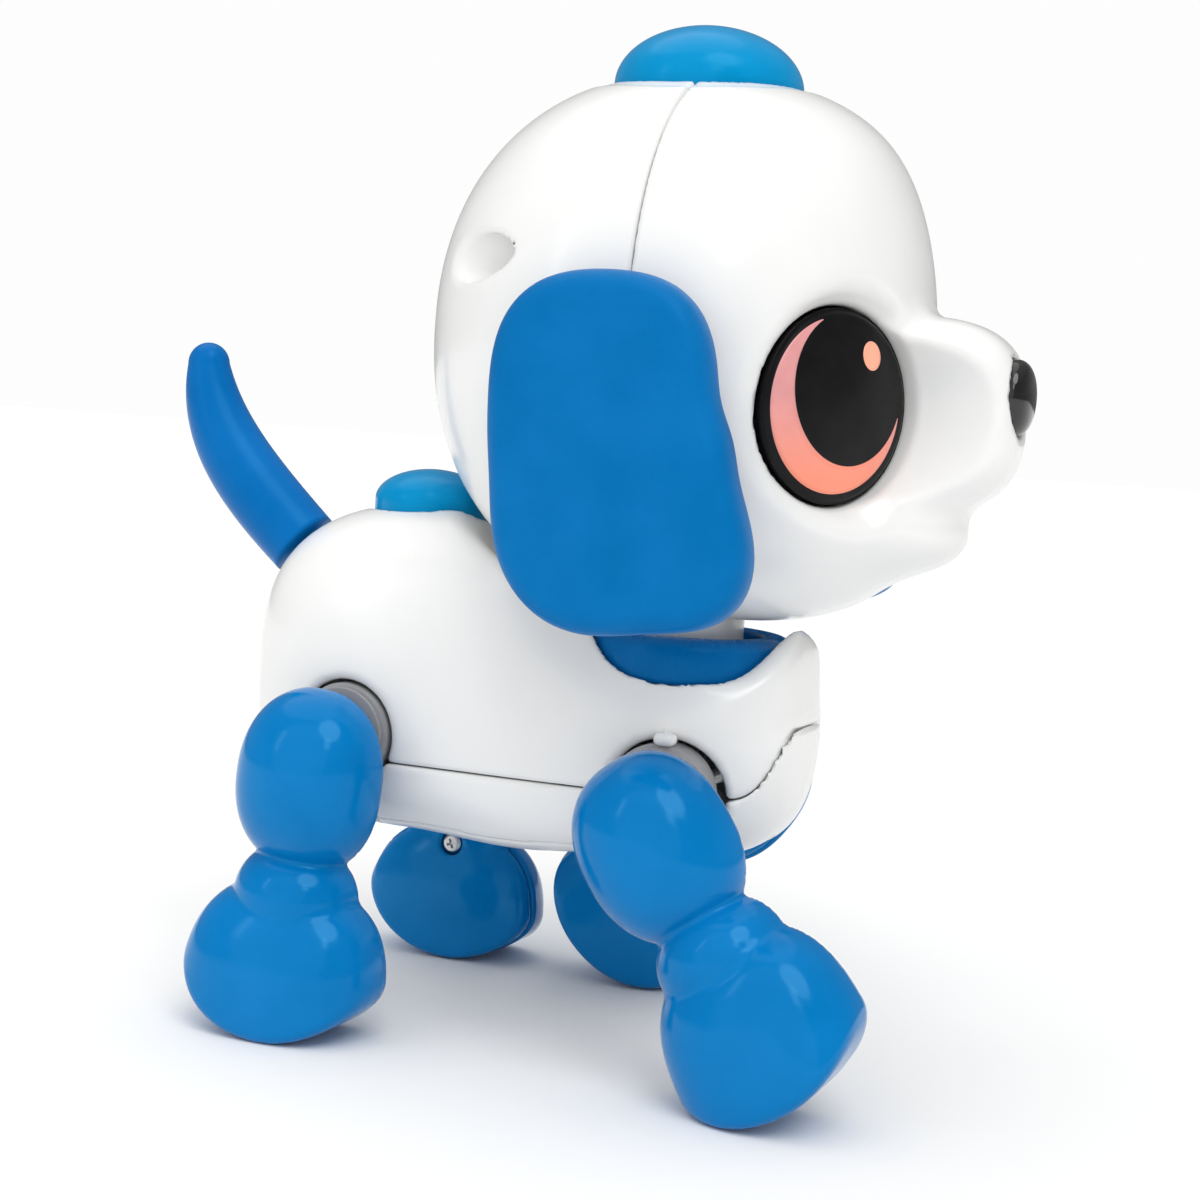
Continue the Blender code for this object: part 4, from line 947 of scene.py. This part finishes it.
def spot_mesh(segments=48):
    """Closed oval patch."""
    angles = np.linspace(0, 2 * math.pi, segments, endpoint=False)
    uv = [(SPOT_U, SPOT_V)]
    for q in (0.45, 0.8, 1.0):
        uv += [(SPOT_U + SPOT_RU * q * math.cos(t), SPOT_V + SPOT_RV * q * math.sin(t))
               for t in angles]
    n = len(uv)
    faces = []
    for j in range(segments):
        k = (j + 1) % segments
        faces += [(0, 1 + j, 1 + k), (n, n + 1 + k, n + 1 + j)]
        for a in (1, 1 + segments):
            b = a + segments
            faces += [(a + j, b + j, b + k, a + k),
                      (n + a + j, n + a + k, n + b + k, n + b + j)]
        a = 1 + 2 * segments
        faces.append((a + j, n + a + j, n + a + k, a + k))
    return print_layers(np.array(uv)), faces


disc_profile = [(r, float(lens_height(r))) for r in np.linspace(0, 13.2, 34)] + DISC_BACK
for side in (-1, 1):
    eye = SIDE_NAMES[side] + "_eye_"
    add_piece(eye + "disc", place_eye(side, lathe(disc_profile, 128)),
              "eye_print_black", ROOT, eye + "lens")
    add_piece(eye + "crescent", place_eye(side, crescent_mesh()), "eye_crescent_pink")
    add_piece(eye + "spot", place_eye(side, spot_mesh()), "eye_spot_salmon")

# ------------------------------------------------------------------ nose
NOSE_PROFILE = [(0, 57.6), (0.93, 57.6), (0.95, 57.8)]      # radius before stretching, x
NOSE_PROFILE += [(0.95 * math.cos(t) ** 0.75, 61.0 + 2.6 * math.sin(t))
                 for t in np.linspace(0, math.pi / 2, 14)[:-1]]
NOSE_PROFILE += [(0, 63.6)]
verts, faces = lathe(NOSE_PROFILE, 96, "x")
verts = verts * np.array([1.0, 5.4, 5.75]) + np.array([0, 0, NOSE_Z])
add_piece("nose_button", (verts, faces), "nose_black", ROOT, "nose")

# ------------------------------------------------------------------ ears
EAR_X, EAR_Y, EAR_Z = 18.45, 40.0, 89.5
EAR_HALF, EAR_RIM, EAR_CROWN, EAR_ROUNDNESS = 4.0, 3.6, 0.7, 0.85
# Outline radius: mean, then the cosine and sine parts of each harmonic
EAR_SERIES = (21.3, -1.92, -1.16, -3.62, -2.1, 0.09, -0.72, -0.89, -0.28,
              -0.03, 0.28, 0.27, 0.48, 0.04, 0.16, 0.07, -0.03)
EAR_PEG_PROFILE = ((0, 26), (2.6, 26), (2.6, 35.4), (3.4, 36.2), (0, 36.4))


def ear_flap_mesh(side):
    theta = np.linspace(0, 2 * math.pi, 180, endpoint=False)
    outline = EAR_SERIES[0] + sum(
        EAR_SERIES[2 * k - 1] * np.cos(k * theta) + EAR_SERIES[2 * k] * np.sin(k * theta)
        for k in range(1, (len(EAR_SERIES) - 1) // 2 + 1))
    flat = outline - EAR_RIM
    # (radii, y) rings: crowned outer face, rounded rim, flat inner face
    rings = [(flat * u, EAR_HALF + EAR_CROWN * (1 - u * u))
             for u in np.linspace(0, 1, 12)[1:-1]]
    for v in np.linspace(math.pi / 2, -math.pi / 2, 19):
        rings.append((outline - EAR_RIM * (1 - abs(math.cos(v)) ** EAR_ROUNDNESS),
                      EAR_HALF * math.copysign(abs(math.sin(v)) ** EAR_ROUNDNESS, math.sin(v))))
    rings += [(flat * u, -EAR_HALF) for u in np.linspace(1, 0, 12)[1:-1]]
    loops = [[(EAR_X + r * math.cos(t), side * (EAR_Y + y), EAR_Z + r * math.sin(t))
              for r, t in zip(radii, theta)] for radii, y in rings]
    return skin(loops, (EAR_X, side * (EAR_Y + EAR_HALF + EAR_CROWN), EAR_Z),
                (EAR_X, side * (EAR_Y - EAR_HALF), EAR_Z))


for side in (-1, 1):
    ear = SIDE_NAMES[side] + "_ear"
    add_piece(ear + "_flap", ear_flap_mesh(side), "ear_blue_satin", ROOT, ear)
    peg_profile = round_profile(EAR_PEG_PROFILE, 0.4, 4)
    verts, faces = lathe(peg_profile, 48, "y", (EAR_PEG[0], 0, EAR_PEG[1]))
    add_piece(ear + "_peg", (verts * np.array([1, side, 1]), faces), "ear_blue_satin")

# ------------------------------------------------------------------ buttons
# Underside and flange: radius, height from the dome's foot
CROWN_INSIDE = round_profile(
    [(0, -9.5), (2.0, -9.5), (2.0, 6.4), (6.0, 5.4), (9.8, 2.8), (11.9, -1.0), (11.9, -8.2),
     (16.2, -8.2), (16.2, -6.9), (CROWN_R, -6.9)], 0.25, 2)
RUMP_INSIDE = [(0, -7.0), (1.8, -7.0), (1.8, 1.6), (5.6, 0.6), (7.2, -1.5), (7.2, -6.4),
               (10.1, -6.4), (10.1, -5.4), (RUMP_R, -5.4)]


def add_button(name, node, button, inside, wall_top, steps, segments):
    x, z, radius, rise = button
    arc = [math.pi / 2 * i / steps for i in range(steps)]
    dome = [(radius * math.cos(a), rise * math.sin(a)) for a in arc]
    profile = inside + [(radius, wall_top)] + dome + [(0, rise)]
    mesh = lathe(profile, segments, "z", (x, 0, z))
    sharpen(add_piece(name, mesh, "button_blue", node, node), 50)


add_button("crown_button", "head_button", CROWN, CROWN_INSIDE,
           wall_top=-1.0, steps=30, segments=128)
add_button("rump_button", "back_button", RUMP, RUMP_INSIDE,
           wall_top=-0.6, steps=24, segments=96)

# ------------------------------------------------------------------ neck, collar
NECK_PROFILE = ((7.4, 52.0), (10.4, 52.0), (10.4, 53.2), (NECK_R, 53.2),
                (NECK_R, 71.2), (11.4, 71.2), (11.4, 72.6), (7.4, 72.6))
COLLAR_PROFILE = ((11.3, 56.7), (15.9, 56.7), (16.1, 57.4), (16.1, 60.6),
                  (15.7, 62.2), (14.6, 63.1), (13.0, 63.4), (11.3, 63.2))
mesh = lathe(round_profile(NECK_PROFILE, 0.3, 3, closed=True), 96, "z", (NECK_X, 0, 0))
sharpen(add_piece("neck_tube", mesh, "shell_white", ROOT, "neck_stem"), 40)
mesh = lathe(round_profile(COLLAR_PROFILE, 0.9, 6, closed=True), 160, "z", (COLLAR_X, 0, 0))
sharpen(add_piece("collar_ring", mesh, "collar_blue", ROOT, "collar"), 60)


# ------------------------------------------------------------------ tail
def tail_mesh():
    """Tapering tube along the tail path with a rounded tip."""
    stations = np.linspace(0.12, 0.955, 60)
    centres = tail_centre(stations)
    tangents = tail_centre(stations + 1e-3) - tail_centre(stations - 1e-3)
    tangents /= np.linalg.norm(tangents, axis=1)[:, None]
    radii = tail_radius(stations)
    end, along, tip_r = centres[-1], tangents[-1], radii[-1]
    sections = list(zip(centres, tangents, radii))
    for k in range(1, 12):
        t = math.pi / 2 * k / 12
        sections.append((end + along * (tip_r * math.sin(t)), along, tip_r * math.cos(t)))
    across = np.array([0.0, 1.0, 0.0])
    angles = np.linspace(0, 2 * math.pi, 64, endpoint=False)
    rings = []
    for centre, tangent, r in sections:
        up = np.cross(tangent, across)
        rings.append([tuple(centre + across * r * TAIL_SQUASH * math.cos(q)
                            + up * r * math.sin(q)) for q in angles])
    return skin(rings, tuple(centres[0]), tuple(end + along * tip_r))


add_piece("tail_horn", tail_mesh(), "tail_blue", ROOT, "tail")

# ------------------------------------------------------------------ shell screws, switch
for i, (y, z, seat) in enumerate(HEAD_SCREWS, 1):
    heights = (seat - 2.0, seat - 1.3, seat - 0.1, SEAM_X + 6.5, SEAM_X + 7.5)
    add_screw("head_fixing_%d" % i, "head_screw_%d" % i, "head", heights,
              "x", (0, y, z), (-1, 0, 0))
for i, (x, y) in enumerate(TORSO_SCREWS, 1):
    seat, seam = TORSO_SCREW_SEAT, float(seam_z(x))
    heights = (seat - 1.8, seat - 1.2, seat - 0.1, seam + 3.3, seam + 4.1)
    add_screw("body_fixing_%d" % i, "torso_screw_%d" % i, "body", heights,
              "z", (x, y, 0), (0, 0, -1))
add_screw("battery_cover_fixing", "battery_door_screw", "door", (29.0, 29.5, 30.5, 31.9, 31.9),
          "z", (DOOR_SCREW_X, 0, 0), (0, 0, -1))

add_piece("slide_switch", surface(switch_field, (-42, -5, 28.5), (-33, 5, 37.2), 0.22),
          "black_plastic", "power_switch", "power_switch")

# ------------------------------------------------------------------ inner parts keep their CAD shape
INNER_PARTS = {
    "screw_steel": ("front_contact_plate", "rear_contact_plate", "gear_motor",
                    "front_hip_axle", "rear_hip_axle", "drive_shaft", "microphone"),
    "board_green": ("head_board", "control_board", "right_eye_led_board", "left_eye_led_board"),
    "black_plastic": ("speaker", "head_button_switch", "back_button_switch"),
    "acetal_gear": ("drive_gear", "motor_pinion"),
    "hub_grey": ("right_crank_disc", "left_crank_disc"),
    "cell_jacket": ("battery_cell_1", "battery_cell_2", "battery_cell_3"),
}
for material, nodes in INNER_PARTS.items():
    for node in nodes:
        part = frame["nodes"][node].data
        part.materials.clear()
        part.materials.append(MATERIALS[material])


# ------------------------------------------------------------------ studio
def add_floor(half=6.0):
    data = bpy.data.meshes.new("floor")
    corners = [(-half, -half, 0), (half, -half, 0), (half, half, 0), (-half, half, 0)]
    data.from_pydata(corners, [], [(0, 1, 2, 3)])
    floor = bpy.data.objects.new("floor", data)
    bpy.context.scene.collection.objects.link(floor)
    data.materials.append(MATERIALS["floor_pale"])


# Sky grey levels: sine of the height above the horizon, level
SOFT_SKY = ((-1.0, 0.30), (-0.05, 0.42), (0.3, 0.60), (1.0, 0.84))
GLOSS_SKY = ((-1.0, 0.10), (-0.05, 0.12), (0.12, 0.26), (0.5, 0.16), (1.0, 0.45))
BACKDROP = 0.985


def build_world():
    """One sky for diffuse light, a darker one for reflections, a plain one for the camera."""
    world = bpy.data.worlds.new("studio")
    bpy.context.scene.world = world
    world.use_nodes = True
    nodes, link = world.node_tree.nodes, world.node_tree.links.new
    background = nodes["Background"]
    rays = nodes.new("ShaderNodeLightPath")
    coords = nodes.new("ShaderNodeTexCoord")
    split = nodes.new("ShaderNodeSeparateXYZ")
    link(coords.outputs["Generated"], split.inputs["Vector"])

    def sky(stops):
        height = nodes.new("ShaderNodeMapRange")
        height.inputs["From Min"].default_value = -1.0
        height.inputs["From Max"].default_value = 1.0
        link(split.outputs["Z"], height.inputs["Value"])
        ramp = nodes.new("ShaderNodeValToRGB")
        elements = ramp.color_ramp.elements
        while len(elements) < len(stops):
            elements.new(0.5)
        for element, (level, grey) in zip(elements, stops):
            element.position = (level + 1) / 2
            element.color = (grey, grey, grey * 0.985, 1)
        link(height.outputs["Result"], ramp.inputs["Fac"])
        return ramp.outputs["Color"]

    def mix(factor, first):
        blend = nodes.new("ShaderNodeMix")
        blend.data_type = "RGBA"
        link(factor, blend.inputs["Factor"])
        link(first, blend.inputs["A"])
        return blend

    soft, gloss = sky(SOFT_SKY), sky(GLOSS_SKY)
    lighting = mix(rays.outputs["Is Glossy Ray"], soft)
    link(gloss, lighting.inputs["B"])
    seen = mix(rays.outputs["Is Camera Ray"], lighting.outputs["Result"])
    seen.inputs["B"].default_value = (BACKDROP, BACKDROP, BACKDROP, 1)
    link(seen.outputs["Result"], background.inputs["Color"])
    background.inputs["Strength"].default_value = 1.0


# Suns: name, place, strength, angular size in degrees
SUNS = (
    ("key", (0.50, -0.60, 1.10), 0.93, 34),
    ("overhead", (-0.25, 0.10, 1.0), 0.56, 60),
    ("front_fill", (-0.10, -1.0, 0.42), 0.52, 70),
)
# Panels: name, place, target, width, height, power
PANELS = (
    ("window", (0.42, -0.75, 0.62), (0.02, -0.02, 0.06), 0.16, 0.24, 0.35),
    ("strip", (-0.55, -0.70, 0.45), (-0.02, -0.02, 0.05), 0.07, 0.34, 0.18),
)


def add_light(light, place, target):
    lamp = bpy.data.objects.new(light.name, light)
    lamp.location = place
    aim = Vector(target) - Vector(place)
    lamp.rotation_euler = aim.to_track_quat("-Z", "Y").to_euler()
    bpy.context.scene.collection.objects.link(lamp)


def add_lights():
    for name, place, strength, angle in SUNS:
        light = bpy.data.lights.new(name, "SUN")
        light.energy = strength
        light.angle = math.radians(angle)
        add_light(light, place, (0, 0, 0))
    for name, place, target, width, height, power in PANELS:
        light = bpy.data.lights.new(name, "AREA")
        light.energy = power
        light.shape = "RECTANGLE"
        light.size = width
        light.size_y = height
        add_light(light, place, target)


CAMERA_PLACE = np.array([124.676, -307.514, 93.679])
CAMERA_ANGLES = (22.0, 4.7, 3.8)       # degrees: azimuth from -Y to +X, elevation, roll


def add_camera():
    data = bpy.data.cameras.new("camera")
    camera = bpy.data.objects.new("camera", data)
    bpy.context.scene.collection.objects.link(camera)
    azimuth, elevation, roll = (math.radians(angle) for angle in CAMERA_ANGLES)
    back = Vector((math.sin(azimuth) * math.cos(elevation),
                   -math.cos(azimuth) * math.cos(elevation), math.sin(elevation)))
    right = Vector((math.cos(azimuth), math.sin(azimuth), 0))
    up = back.cross(right)
    rolled_right = right * math.cos(roll) + up * math.sin(roll)
    rolled_up = -right * math.sin(roll) + up * math.cos(roll)
    pose = Matrix((rolled_right, rolled_up, back)).transposed().to_4x4()
    pose.translation = Vector((CAMERA_PLACE + SHIFT) * MM)
    camera.matrix_world = pose
    data.sensor_width = 36.0
    data.lens = 66.0
    data.clip_start = 0.01
    bpy.context.scene.camera = camera


add_floor()
build_world()
add_lights()
add_camera()
bpy.context.scene.view_settings.view_transform = "Standard"
